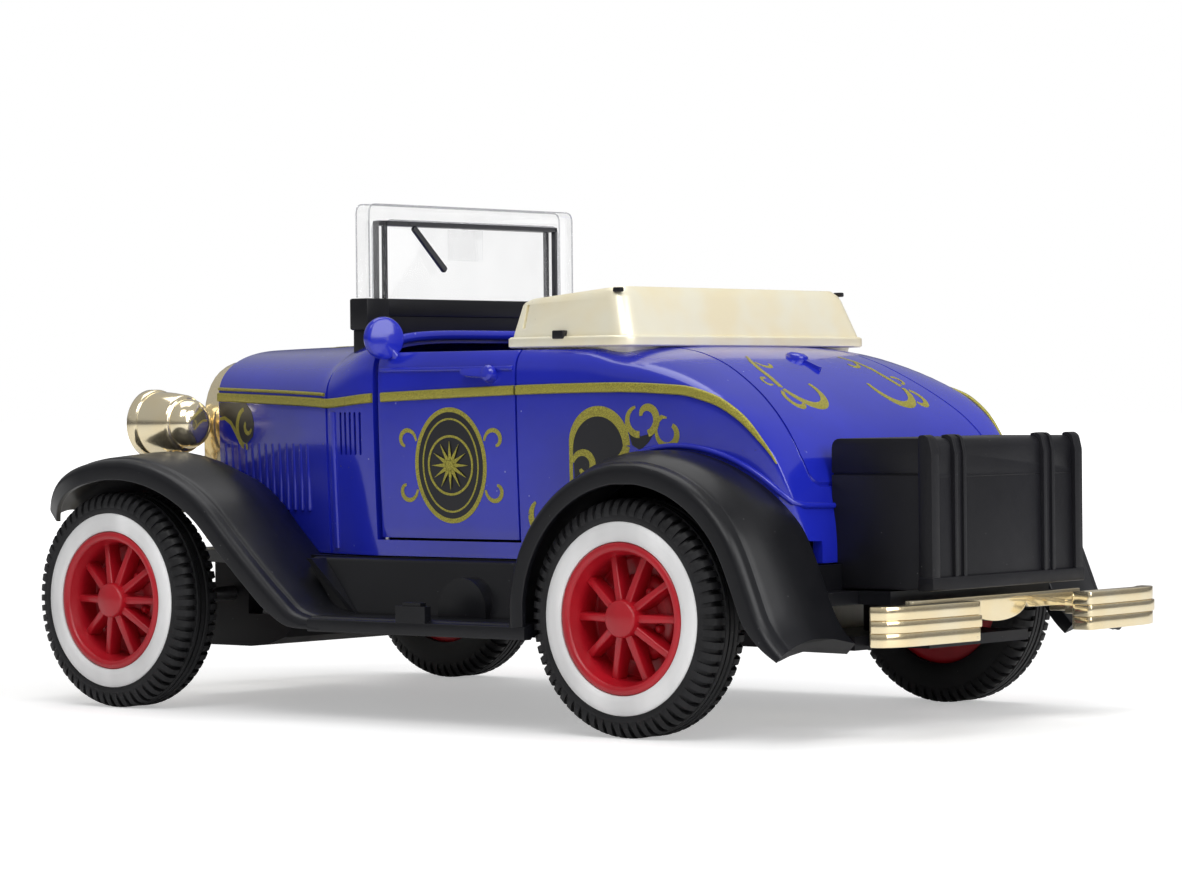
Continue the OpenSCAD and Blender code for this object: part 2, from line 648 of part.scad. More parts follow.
// A wheel about the Z axis, its outer face at z = 0 and its back below.
module wheel() {
    difference() {
        union() {
            // Deep rim with a closed back
            rotate_extrude() polygon([
                [0, -5.6], [rim_r - 0.7, -5.6], [rim_r - 0.1, -5.6], [rim_r - 0.1, -0.7], [rim_r, -0.5],
                [rim_r - 0.2, 0], [rim_r - 0.9, 0], [rim_in, -0.8], [rim_in - 0.3, -2.6], [rim_in - 0.3, -4.4], [0, -4.4]
            ]);
            rotate_extrude() polygon([[0, -4.6], [drum_r, -4.6], [drum_r, -3.6], [drum_r - 0.6, -3], [0, -3]]);
            translate([0, 0, -4.6]) cylinder(r = hub_r, h = 4.9);
            for (i = [0:4]) rotate([0, 0, 72 * i]) translate([3.6, 0, -3.2]) cylinder(r = 0.5, h = 0.9, $fn = 6);
            for (i = [0:spokes - 1]) rotate([0, 0, 360 * i / spokes]) rotate([90, 0, 0])
                translate([0, 0, -0.38]) linear_extrude(0.76) polygon([
                    [1, -2.6], [1, -0.5], [rim_in - 0.6, -1.7], [rim_in, -1.5], [rim_in, -3]
                ]);
        }
        translate([0, 0, -6]) cylinder(r = axle_r + push_fit, h = 5.2);
    }
}
module whitewall() {
    rotate_extrude() polygon([
        [rim_r + push_fit, -1.4], [rim_r + push_fit, -0.15], [rim_r + 0.3, 0.05], [whitewall_r - 0.3, 0.05],
        [whitewall_r, -0.15], [whitewall_r, -1.4]
    ]);
}
module tyre() {
    tread = tyre_r;
    rotate_extrude($fn = 62) polygon([
        [rim_r + push_fit, -tyre_w + 0.4], [rim_r + push_fit, -1.45], [whitewall_r + push_fit, -1.45],
        [whitewall_r + push_fit, -0.1], [whitewall_r + 0.5, 0], [tread - 1.1, -0.5], [tread, -1.5],
        [tread, -2.4], [tread - 0.4, -2.5], [tread - 0.4, -2.8], [tread, -2.9],
        [tread, 2.9 - tyre_w], [tread - 0.4, 2.8 - tyre_w], [tread - 0.4, 2.5 - tyre_w], [tread, 2.4 - tyre_w],
        [tread, 1.5 - tyre_w], [tread - 1.1, 0.5 - tyre_w], [whitewall_r, -tyre_w], [rim_r + 0.6, -tyre_w]
    ]);
}
// Puts a piece drawn about Z on an axle, at the car's left or right.
module at_wheel(front, left) {
    translate([front ? axle_x : -axle_x, left ? track_out : -track_out, axle_z])
        rotate([left ? -90 : 90, 0, 0]) children();
}
module wheel_front_left() { color("firebrick") in_frame() at_wheel(true, true) wheel(); }
module wheel_front_right() { color("firebrick") in_frame() at_wheel(true, false) wheel(); }
module wheel_rear_left() { color("firebrick") in_frame() at_wheel(false, true) wheel(); }
module wheel_rear_right() { color("firebrick") in_frame() at_wheel(false, false) wheel(); }
module whitewall_front_left() { color("white") in_frame() at_wheel(true, true) whitewall(); }
module whitewall_front_right() { color("white") in_frame() at_wheel(true, false) whitewall(); }
module whitewall_rear_left() { color("white") in_frame() at_wheel(false, true) whitewall(); }
module whitewall_rear_right() { color("white") in_frame() at_wheel(false, false) whitewall(); }
module tyre_front_left() { color([0.1, 0.1, 0.1]) in_frame() at_wheel(true, true) tyre(); }
module tyre_front_right() { color([0.1, 0.1, 0.1]) in_frame() at_wheel(true, false) tyre(); }
module tyre_rear_left() { color([0.1, 0.1, 0.1]) in_frame() at_wheel(false, true) tyre(); }
module tyre_rear_right() { color([0.1, 0.1, 0.1]) in_frame() at_wheel(false, false) tyre(); }

axle_half = track_out - 1.2;
module front_axle() { color("silver") in_frame() bar_y(axle_x, axle_z, axle_r, -axle_half, axle_half); }
module rear_axle() { color("silver") in_frame() bar_y(-axle_x, axle_z, axle_r, -axle_half, axle_half); }

// ---- Pull back motor ----
idler_z = 17.6;
idler_x = -axle_x + sqrt(pow(centres(pinion_teeth, idler_teeth), 2) - pow(idler_z - axle_z, 2));
spring_z = 16.6;
spring_x = idler_x + sqrt(pow(centres(idler_teeth, spring_teeth), 2) - pow(spring_z - idler_z, 2));
motor_rear = -46;
motor_front = -15.9;
motor_low = base_z + 0.05;
motor_high = 24.2;
motor_half = 8;
motor_wall = 0.6;
gear_y0 = -5.6;
gear_y1 = -3;
arbor_r = 1.2;
stub_r = 0.8;
gear_gap = 0.12;

function pitch_r(teeth) = gear_m * teeth / 2;
function centres(a, b) = pitch_r(a) + pitch_r(b);
// Involute flank: polar angle at radius r over base radius b, in degrees.
function inv_at(r, b) = r <= b ? 0 : sqrt(r * r / (b * b) - 1) * 180 / PI - acos(b / r);
module gear_profile(teeth) {
    p = pitch_r(teeth);
    b = p * cos(20);
    tip = p + gear_m * 0.9;
    foot = p - gear_m * 1.15;
    half_tooth = 90 / teeth - gear_gap * 90 / PI / p;
    at_pitch = inv_at(p, b);
    radii = [for (i = [0:4]) max(foot, b) + (tip - max(foot, b)) * i / 4];
    polygon([for (k = [0:teeth - 1]) each concat(
        [let (a = k * 360 / teeth - half_tooth - at_pitch - 1) foot * [cos(a), sin(a)]],
        [for (r = radii) let (a = k * 360 / teeth - half_tooth - at_pitch + inv_at(r, b)) r * [cos(a), sin(a)]],
        [for (i = [4:-1:0]) let (r = radii[i], a = k * 360 / teeth + half_tooth + at_pitch - inv_at(r, b))
            r * [cos(a), sin(a)]],
        [let (a = k * 360 / teeth + half_tooth + at_pitch + 1) foot * [cos(a), sin(a)]]
    )]);
}
// A gear turned so that one of its teeth, or a gap, points along the given direction in X and Z.
module gear(x, z, teeth, turn) { across(gear_y0, gear_y1) translate([x, z]) rotate(turn) gear_profile(teeth); }

to_idler = atan2(idler_z - axle_z, idler_x + axle_x);
to_spring = atan2(spring_z - idler_z, spring_x - idler_x);
// The idler has a gap where the pinion's tooth points; the spring gear has one where the idler's tooth points.
idler_turn = to_idler + 180 + 180 / idler_teeth;
next_tooth = idler_turn + round((to_spring - idler_turn) * idler_teeth / 360) * 360 / idler_teeth;
spring_turn = to_spring + 180 + 180 / spring_teeth - (next_tooth - to_spring) * idler_teeth / spring_teeth;

module axle_pinion() {
    color("orange") in_frame() difference() {
        gear(-axle_x, axle_z, pinion_teeth, to_idler);
        bar_y(-axle_x, axle_z, axle_r + push_fit, -20, 20);
    }
}
module idler_gear() {
    color("orange") in_frame() {
        gear(idler_x, idler_z, idler_teeth, idler_turn);
        bar_y(idler_x, idler_z, stub_r, -motor_half + 0.1, motor_half - 0.1);
    }
}
module spring_gear() {
    color("orange") in_frame() {
        gear(spring_x, spring_z, spring_teeth, spring_turn);
        bar_y(spring_x, spring_z, arbor_r, gear_y0, 6);
        bar_y(spring_x, spring_z, stub_r, -motor_half + 0.1, motor_half - 0.1);
    }
}
module mainspring() {
    inner = 1.6;
    outer = 6.2;
    strip = 0.2;
    steps = spring_turns * 20;
    function reach(i) = inner + (outer - inner) * i / steps;
    color("silver") in_frame() across(-1.5, 5) translate([spring_x, spring_z]) polygon(concat(
        [for (i = [0:steps]) reach(i) * [cos(18 * i), sin(18 * i)]],
        [for (i = [steps:-1:0]) (reach(i) + strip) * [cos(18 * i), sin(18 * i)]]
    ));
}
module motor_case(y0, y1, wall_y) {
    difference() {
        block([motor_rear, y0, motor_low], [motor_front, y1, motor_high]);
        block(
            [motor_rear + motor_wall, y0 + (wall_y < 0 ? motor_wall : -1), motor_low + motor_wall],
            [motor_front - motor_wall, y1 + (wall_y < 0 ? 1 : -motor_wall), motor_high - motor_wall]
        );
        bar_y(-axle_x, axle_z, axle_r + run_fit, -20, 20);
        bar_y(idler_x, idler_z, stub_r + run_fit, -20, 20);
        bar_y(spring_x, spring_z, stub_r + run_fit, -20, 20);
    }
}
module motor_case_left() { color([0.9, 0.9, 0.85]) in_frame() motor_case(0.02, motor_half, 1); }
module motor_case_right() { color([0.85, 0.85, 0.8]) in_frame() motor_case(-motor_half, -0.02, -1); }

body_shell();
door_left();
door_right();
door_pin_left();
door_pin_right();
interior_tub();
dashboard();
steering_wheel();
windscreen();
windscreen_frame();
soft_top();
radiator_shell();
radiator_core();
headlight_left();
headlight_right();
headlight_lens_left();
headlight_lens_right();
headlight_bar();
front_bumper();
fender_moulding();
base_plate();
body_screws();
luggage_trunk();
rear_bumper();
front_axle();
rear_axle();
wheel_front_left();
wheel_front_right();
wheel_rear_left();
wheel_rear_right();
whitewall_front_left();
whitewall_front_right();
whitewall_rear_left();
whitewall_rear_right();
tyre_front_left();
tyre_front_right();
tyre_rear_left();
tyre_rear_right();
motor_case_left();
motor_case_right();
axle_pinion();
idler_gear();
spring_gear();
mainspring();
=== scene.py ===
"""Pull back toy roadster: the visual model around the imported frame.

Shapes are worked out in millimetres about the wheelbase's middle and are
made in metres in the frame of the part.
"""

import logging
import math
from dataclasses import dataclass, field
from enum import Enum
from typing import Any, Iterable, Sequence

import bmesh
import bpy
import numpy as np
from mathutils import Matrix, Vector


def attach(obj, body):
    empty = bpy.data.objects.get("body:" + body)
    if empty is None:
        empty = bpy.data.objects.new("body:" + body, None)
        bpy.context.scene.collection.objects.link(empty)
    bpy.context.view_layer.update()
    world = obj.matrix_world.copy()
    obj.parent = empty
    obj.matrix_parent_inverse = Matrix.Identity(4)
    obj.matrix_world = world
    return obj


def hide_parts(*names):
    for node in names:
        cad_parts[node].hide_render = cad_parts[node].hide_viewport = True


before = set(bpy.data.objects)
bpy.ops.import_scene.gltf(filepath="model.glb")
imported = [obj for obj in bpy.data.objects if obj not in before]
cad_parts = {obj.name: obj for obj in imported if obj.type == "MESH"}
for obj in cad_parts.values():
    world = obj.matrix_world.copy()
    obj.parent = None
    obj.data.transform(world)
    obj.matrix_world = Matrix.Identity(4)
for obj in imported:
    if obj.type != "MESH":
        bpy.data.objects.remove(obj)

log = logging.getLogger("roadster")

MM = 0.001
# The wheelbase's middle lies this far ahead of the part's origin, in mm.
AHEAD = 6.0
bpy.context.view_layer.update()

Point = Sequence[float]


class Body(Enum):
    """The moving bodies of the part."""

    CAR = "car"
    FRONT_WHEELS = "front_wheels"
    REAR_WHEELS = "rear_wheels"
    LEFT_DOOR = "left_door"
    RIGHT_DOOR = "right_door"


class Side(Enum):
    """A side of the car, as the sign of Y."""

    LEFT = 1
    RIGHT = -1

    @property
    def word(self) -> str:
        """The side's name as the nodes use it."""
        return self.name.lower()

    @property
    def door(self) -> Body:
        """The door body on this side."""
        return Body[f"{self.name}_DOOR"]


# ---------------------------------------------------------------- lines


@dataclass(frozen=True)
class Line:
    """A smooth line that passes through points without overshoot.

    Attributes:
        points: Pairs of place and value, with the places rising.
    """

    points: tuple[tuple[float, float], ...]

    def at(self, place: Any) -> np.ndarray:
        """The line's value.

        Args:
            place: One place or an array of them.

        Returns:
            The value at each place.
        """
        xs, ys = np.array(self.points, float).T
        step = np.diff(xs)
        rise = np.diff(ys) / step
        slope = np.concatenate([[rise[0]], np.zeros(len(rise) - 1), [rise[-1]]])
        same = rise[:-1] * rise[1:] > 0
        total = np.where(same, rise[:-1] + rise[1:], 1.0)
        slope[1:-1] = np.where(same, 2 * rise[:-1] * rise[1:] / total, 0.0)
        q = np.clip(np.asarray(place, float), xs[0], xs[-1])
        i = np.clip(np.searchsorted(xs, q, side="right") - 1, 0, len(step) - 1)
        t = (q - xs[i]) / step[i]
        low = (1 + 2 * t) * (1 - t) ** 2 * ys[i] + t * (1 - t) ** 2 * step[i] * slope[i]
        high = t * t * (3 - 2 * t) * ys[i + 1] + t * t * (t - 1) * step[i] * slope[i + 1]
        return low + high


def rounded(points: Sequence[Point], radius: float, steps: int = 4) -> list[tuple[float, float]]:
    """An outline with its corners rounded.

    Args:
        points: Corners of a closed outline, each a pair, or three numbers
            where the third is that corner's own radius.
        radius: How far from a corner the rounding starts.
        steps: Segments in each rounding.

    Returns:
        The new outline's points.
    """
    found = []
    for i, point in enumerate(points):
        here = np.array(point[:2], float)
        reach = point[2] if len(point) > 2 else radius
        ends = []
        for other in (points[i - 1], points[(i + 1) % len(points)]):
            way = np.array(other[:2], float) - here
            length = float(np.linalg.norm(way))
            ends.append(here + way * min(reach, length * 0.49) / length)
        if reach <= 0:
            found.append(tuple(here))
            continue
        for k in range(steps + 1):
            t = k / steps
            found.append(tuple((1 - t) ** 2 * ends[0] + 2 * t * (1 - t) * here + t * t * ends[1]))
    return found


def arc(x: float, z: float, r: float, start: float, stop: float, steps: int) -> list[tuple[float, float]]:
    """Points on an arc, from start to stop in degrees."""
    angles = np.radians(np.linspace(start, stop, steps + 1))
    return [(x + r * math.cos(a), z + r * math.sin(a)) for a in angles]


# ---------------------------------------------------------------- shapes


class Shape:
    """Points in millimetres about the wheelbase's middle, and faces on them."""

    def __init__(self) -> None:
        """Starts empty."""
        self.verts: list[tuple[float, float, float]] = []
        self.faces: list[tuple[int, ...]] = []

    def add(self, verts: Iterable[Point], faces: Iterable[Sequence[int]]) -> "Shape":
        """Adds points and the faces between them, and returns the shape."""
        base = len(self.verts)
        self.verts.extend(tuple(float(c) for c in v) for v in verts)
        self.faces.extend(tuple(base + i for i in f) for f in faces)
        return self

    def join(self, other: "Shape", place: Matrix | None = None) -> "Shape":
        """Adds another shape, moved by a matrix in millimetres."""
        verts = other.verts
        if place is not None:
            verts = [tuple(place @ Vector(v)) for v in verts]
        return self.add(verts, other.faces)

    def loft(self, rings: Any, closed: bool = True, caps: bool = True) -> "Shape":
        """Skins a row of rings that have the same number of points.

        Args:
            rings: Array of rings, points and coordinates.
            closed: Whether each ring goes back to its start.
            caps: Whether the two ends are closed with a face.

        Returns:
            This shape.
        """
        rings = np.asarray(rings, float)
        rows, n, _ = rings.shape
        span = n if closed else n - 1
        faces: list[Sequence[int]] = [
            (i * n + j, i * n + (j + 1) % n, (i + 1) * n + (j + 1) % n, (i + 1) * n + j)
            for i in range(rows - 1)
            for j in range(span)
        ]
        if caps:
            faces += [tuple(reversed(range(n))), tuple((rows - 1) * n + j for j in range(n))]
        return self.add(rings.reshape(-1, 3), faces)

    def turned(self, profile: Sequence[Point], steps: int, place: Matrix, ring: bool = False) -> "Shape":
        """Turns a profile of (radius, height) pairs about the local Z axis.

        Args:
            profile: The profile, from one end to the other.
            steps: Segments round the axis.
            place: Where the local frame lies, in millimetres.
            ring: Whether the profile is a closed loop, as on a tyre.

        Returns:
            This shape.
        """
        angles = np.linspace(0, 2 * math.pi, steps, endpoint=False)
        rings = [[(r * math.cos(a), r * math.sin(a), h) for a in angles] for r, h in profile]
        if ring:
            rings.append(rings[0])
        return self.join(Shape().loft(rings, caps=False), place)

    def slab(self, outline: Sequence[Point], low: float, high: float, place: Matrix) -> "Shape":
        """Gives a closed outline a thickness along the local Z axis."""
        rings = [[(p[0], p[1], h) for p in outline] for h in (low, high)]
        return self.join(Shape().loft(rings), place)

    def block(self, low: Point, high: Point) -> "Shape":
        """Adds a box between two corners."""
        outline = [(low[0], low[1]), (high[0], low[1]), (high[0], high[1]), (low[0], high[1])]
        return self.slab(outline, low[2], high[2], Matrix())

    def mirrored(self) -> "Shape":
        """The same shape on the car's other side."""
        return Shape().add([(x, -y, z) for x, y, z in self.verts], [f[::-1] for f in self.faces])

    def on(self, side: Side) -> "Shape":
        """This left hand shape, as it is on a side."""
        return self if side is Side.LEFT else self.mirrored()

    def both(self) -> "Shape":
        """This shape and its mirror image."""
        return Shape().join(self).join(self.mirrored())


def facing(at: Point, z_axis: Point, x_axis: Point = (1, 0, 0)) -> Matrix:
    """A local frame.

    Args:
        at: Its origin in millimetres.
        z_axis: The direction of its Z axis.
        x_axis: A direction near its X axis.

    Returns:
        The matrix from the local frame.
    """
    z = Vector(z_axis).normalized()
    y = z.cross(Vector(x_axis)).normalized()
    x = y.cross(z)
    return Matrix.Translation(Vector(at)) @ Matrix((x, y, z)).transposed().to_4x4()


def along_y(y: float = 0.0) -> Matrix:
    """A frame whose X and Y are the car's X and Z, looking along -Y."""
    return Matrix(((1, 0, 0, 0), (0, 0, 1, y), (0, 1, 0, 0), (0, 0, 0, 1)))


def to_mesh(shape: Shape, name: str) -> bpy.types.Mesh:
    """A closed mesh in metres in the part's frame, its faces outwards."""
    mesh = bpy.data.meshes.new(name)
    verts = [((x + AHEAD) * MM, y * MM, z * MM) for x, y, z in shape.verts]
    mesh.from_pydata(verts, [], shape.faces)
    return cleaned(mesh, MM)


def cleaned(mesh: bpy.types.Mesh, unit: float) -> bpy.types.Mesh:
    """Merges a mesh's doubles and turns its faces outwards.

    Args:
        mesh: The mesh.
        unit: The length of a millimetre in it.

    Returns:
        The same mesh.
    """
    bm = bmesh.new()
    bm.from_mesh(mesh)
    bmesh.ops.remove_doubles(bm, verts=bm.verts, dist=2e-4 * unit)
    bmesh.ops.dissolve_degenerate(bm, edges=bm.edges, dist=1e-5 * unit)
    bmesh.ops.recalc_face_normals(bm, faces=bm.faces)
    bm.to_mesh(mesh)
    bm.free()
    return mesh


def linked(mesh: bpy.types.Mesh, name: str) -> bpy.types.Object:
    """An object of a mesh, in the scene."""
    obj = bpy.data.objects.new(name, mesh)
    bpy.context.scene.collection.objects.link(obj)
    return obj


def settled(obj: bpy.types.Object) -> bpy.types.Object:
    """Turns an object's modifiers into plain mesh."""
    graph = bpy.context.evaluated_depsgraph_get()
    graph.update()
    mesh = bpy.data.meshes.new_from_object(obj.evaluated_get(graph), depsgraph=graph)
    obj.modifiers.clear()
    obj.data = mesh
    return obj


def carved(shape: Shape, *cutters: Shape, keep: str = "DIFFERENCE") -> Shape:
    """Cuts a closed shape with others, one after another.

    Args:
        shape: What is cut.
        *cutters: The closed shapes that cut it.
        keep: The boolean operation.

    Returns:
        What is left.
    """
    for cutter in cutters:
        pair = []
        for source in (shape, cutter):
            mesh = bpy.data.meshes.new("cut")
            mesh.from_pydata([tuple(v) for v in source.verts], [], source.faces)
            pair.append(linked(cleaned(mesh, 1), "cut"))
        cut = pair[0].modifiers.new("cut", "BOOLEAN")
        cut.operation, cut.object, cut.solver = keep, pair[1], "EXACT"
        settled(pair[0])
        shape = from_mesh(cleaned(pair[0].data, 1))
        for obj in pair:
            bpy.data.objects.remove(obj)
    return shape


def dressed(
    obj: bpy.types.Object,
    material: bpy.types.Material,
    body: Body,
    slot: str,
    *nodes: str,
    bevel: float = 0.0,
    crease: float = 34.0,
) -> bpy.types.Object:
    """Finishes a piece: rounds its edges, shades it, and ties it to its body.

    Args:
        obj: The piece.
        material: Its material.
        body: The body that it rides on.
        slot: The record's material slot; not used.
        *nodes: The CAD nodes that it stands for.
        bevel: Radius of its edges in millimetres.
        crease: Angle in degrees past which an edge stays sharp.

    Returns:
        The piece.
    """
    if bevel:
        edge = obj.modifiers.new("edges", "BEVEL")
        edge.width, edge.segments, edge.limit_method = bevel * MM, 2, "ANGLE"
        edge.angle_limit = math.radians(crease)
        settled(obj)
    cleaned(obj.data, MM)
    obj.data.materials.clear()
    obj.data.materials.append(material)
    for face in obj.data.polygons:
        face.use_smooth = True
        face.material_index = 0
    obj.data.set_sharp_from_angle(angle=math.radians(crease + 3))
    obj.data.update()
    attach(obj, body.value)
    if nodes:
        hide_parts(*nodes)
    log.info("%s rides on %s, %d faces", obj.name, body.value, len(obj.data.polygons))
    return obj


def piece(
    name: str,
    shape: Shape,
    material: bpy.types.Material,
    body: Body,
    slot: str,
    *nodes: str,
    bevel: float = 0.0,
    crease: float = 34.0,
) -> bpy.types.Object:
    """Makes a shape into a finished piece, as dressed() does."""
    obj = linked(to_mesh(shape, name), name)
    return dressed(obj, material, body, slot, *nodes, bevel=bevel, crease=crease)


# ---------------------------------------------------------------- node trees


class Wire:
    """A node's output socket that can be used in sums."""

    def __init__(self, graph: "Graph", socket: bpy.types.NodeSocket) -> None:
        """Keeps the socket and the tree that it is in."""
        self.graph, self.socket = graph, socket

    def maths(self, operation: str, *others: Any, flip: bool = False) -> "Wire":
        """Adds a Math node on this socket.

        Args:
            operation: The Math node's operation.
            *others: The other values or wires.
            flip: Whether this socket comes second.

        Returns:
            The node's output.
        """
        terms = [self, *others]
        if flip:
            terms[0], terms[1] = terms[1], terms[0]
        node = self.graph.add("ShaderNodeMath", {"operation": operation}, dict(enumerate(terms)))
        return Wire(self.graph, node.outputs[0])

    def __add__(self, other: Any) -> "Wire":
        """This plus another."""
        return self.maths("ADD", other)

    __radd__ = __add__

    def __sub__(self, other: Any) -> "Wire":
        """This less another."""
        return self.maths("SUBTRACT", other)

    def __rsub__(self, other: Any) -> "Wire":
        """Another less this."""
        return self.maths("SUBTRACT", other, flip=True)

    def __mul__(self, other: Any) -> "Wire":
        """This times another."""
        return self.maths("MULTIPLY", other)

    __rmul__ = __mul__

    def __truediv__(self, other: Any) -> "Wire":
        """This over another."""
        return self.maths("DIVIDE", other)

    def __rtruediv__(self, other: Any) -> "Wire":
        """Another over this."""
        return self.maths("DIVIDE", other, flip=True)

    def __pow__(self, other: Any) -> "Wire":
        """This to a power."""
        return self.maths("POWER", other)

    def step(self, low: float, high: float) -> "Wire":
        """Rises smoothly from 0 at low to 1 at high."""
        node = self.graph.add(
            "ShaderNodeMapRange",
            {"interpolation_type": "SMOOTHSTEP"},
            {"Value": self, "From Min": low, "From Max": high},
        )
        return Wire(self.graph, node.outputs[0])


class Graph:
    """A node tree that is built by calls."""

    def __init__(self, tree: bpy.types.NodeTree) -> None:
        """Keeps the tree."""
        self.tree = tree

    def add(
        self,
        kind: str,
        settings: dict[str, Any] | None = None,
        inputs: dict[Any, Any] | None = None,
    ) -> Any:
        """Adds a node.

        Args:
            kind: The node's type.
            settings: Its own settings; "stops" fills a colour ramp.
            inputs: Values or wires, by socket name or number.

        Returns:
            The node.
        """
        node = self.tree.nodes.new(kind)
        for key, value in (settings or {}).items():
            if key != "stops":
                setattr(node, key, value)
                continue
            ramp = node.color_ramp
            while len(ramp.elements) < len(value):
                ramp.elements.new(0.5)
            for element, (place, colour) in zip(ramp.elements, value):
                element.position, element.color = place, colour
        for key, value in (inputs or {}).items():
            if isinstance(value, Wire):
                self.tree.links.new(value.socket, node.inputs[key])
            else:
                node.inputs[key].default_value = value
        return node

    def wire(
        self,
        kind: str,
        settings: dict[str, Any] | None = None,
        inputs: dict[Any, Any] | None = None,
        output: Any = 0,
    ) -> Wire:
        """Adds a node and returns one of its outputs."""
        return Wire(self, self.add(kind, settings, inputs).outputs[output])


# ---------------------------------------------------------------- repeats and sweeps


class Repeater:
    """A Geometry Nodes tree that sets copies of a pattern in a row or a ring."""

    def __init__(self) -> None:
        """Builds the tree."""
        tree = bpy.data.node_groups.new("row or ring of copies", "GeometryNodeTree")
        face = tree.interface
        for name, kind in (
            ("Pattern", "NodeSocketObject"),
            ("Count", "NodeSocketInt"),
            ("Step", "NodeSocketVector"),
            ("Turn", "NodeSocketVector"),
            ("Finish", "NodeSocketMaterial"),
        ):
            face.new_socket(name, in_out="INPUT", socket_type=kind)
        face.new_socket("Geometry", in_out="OUTPUT", socket_type="NodeSocketGeometry")
        g = Graph(tree)
        start = g.add("NodeGroupInput")
        given = {s.name: Wire(g, s) for s in start.outputs}
        index = g.wire("GeometryNodeInputIndex")

        def times(name: str) -> Wire:
            """A vector input scaled by the copy's number."""
            return g.wire("ShaderNodeVectorMath", {"operation": "SCALE"}, {0: given[name], "Scale": index})

        points = g.wire("GeometryNodePoints", inputs={"Count": given["Count"]})
        placed = g.wire("GeometryNodeSetPosition", inputs={"Geometry": points, "Position": times("Step")})
        pattern = g.wire("GeometryNodeObjectInfo", inputs={"Object": given["Pattern"]}, output="Geometry")
        turn = g.wire("FunctionNodeEulerToRotation", inputs={"Euler": times("Turn")})
        copies = g.wire(
            "GeometryNodeInstanceOnPoints",
            inputs={"Points": placed, "Instance": pattern, "Rotation": turn},
        )
        real = g.wire("GeometryNodeRealizeInstances", inputs={"Geometry": copies})
        done = g.wire("GeometryNodeSetMaterial", inputs={"Geometry": real, "Material": given["Finish"]})
        g.add("NodeGroupOutput", inputs={"Geometry": done})
        self.tree = tree
        self.keys = {i.name: i.identifier for i in face.items_tree if i.in_out == "INPUT"}

    def run(
        self,
        pattern: Shape,
        count: int,
        place: Matrix,
        step: Point = (0, 0, 0),
        turn: Point = (0, 0, 0),
    ) -> Shape:
        """Sets out the copies.

        Args:
            pattern: The pattern in its own local frame, in millimetres.
            count: How many copies.
            place: Where the local frame lies.
            step: The shift from one copy to the next, in millimetres.
            turn: The turn from one copy to the next, in radians.

        Returns:
            All the copies as one shape.
        """
        mesh = bpy.data.meshes.new("pattern")
        mesh.from_pydata(pattern.verts, [], pattern.faces)
        tool = linked(mesh, "pattern")
        host = linked(bpy.data.meshes.new("copies"), "copies")
        mod = host.modifiers.new("copies", "NODES")
        mod.node_group = self.tree
        for name, value in (("Pattern", tool), ("Count", count), ("Step", step), ("Turn", turn)):
            mod[self.keys[name]] = value
        settled(host)
        found = from_mesh(host.data)
        bpy.data.objects.remove(host)
        bpy.data.objects.remove(tool)
        return Shape().join(found, place)


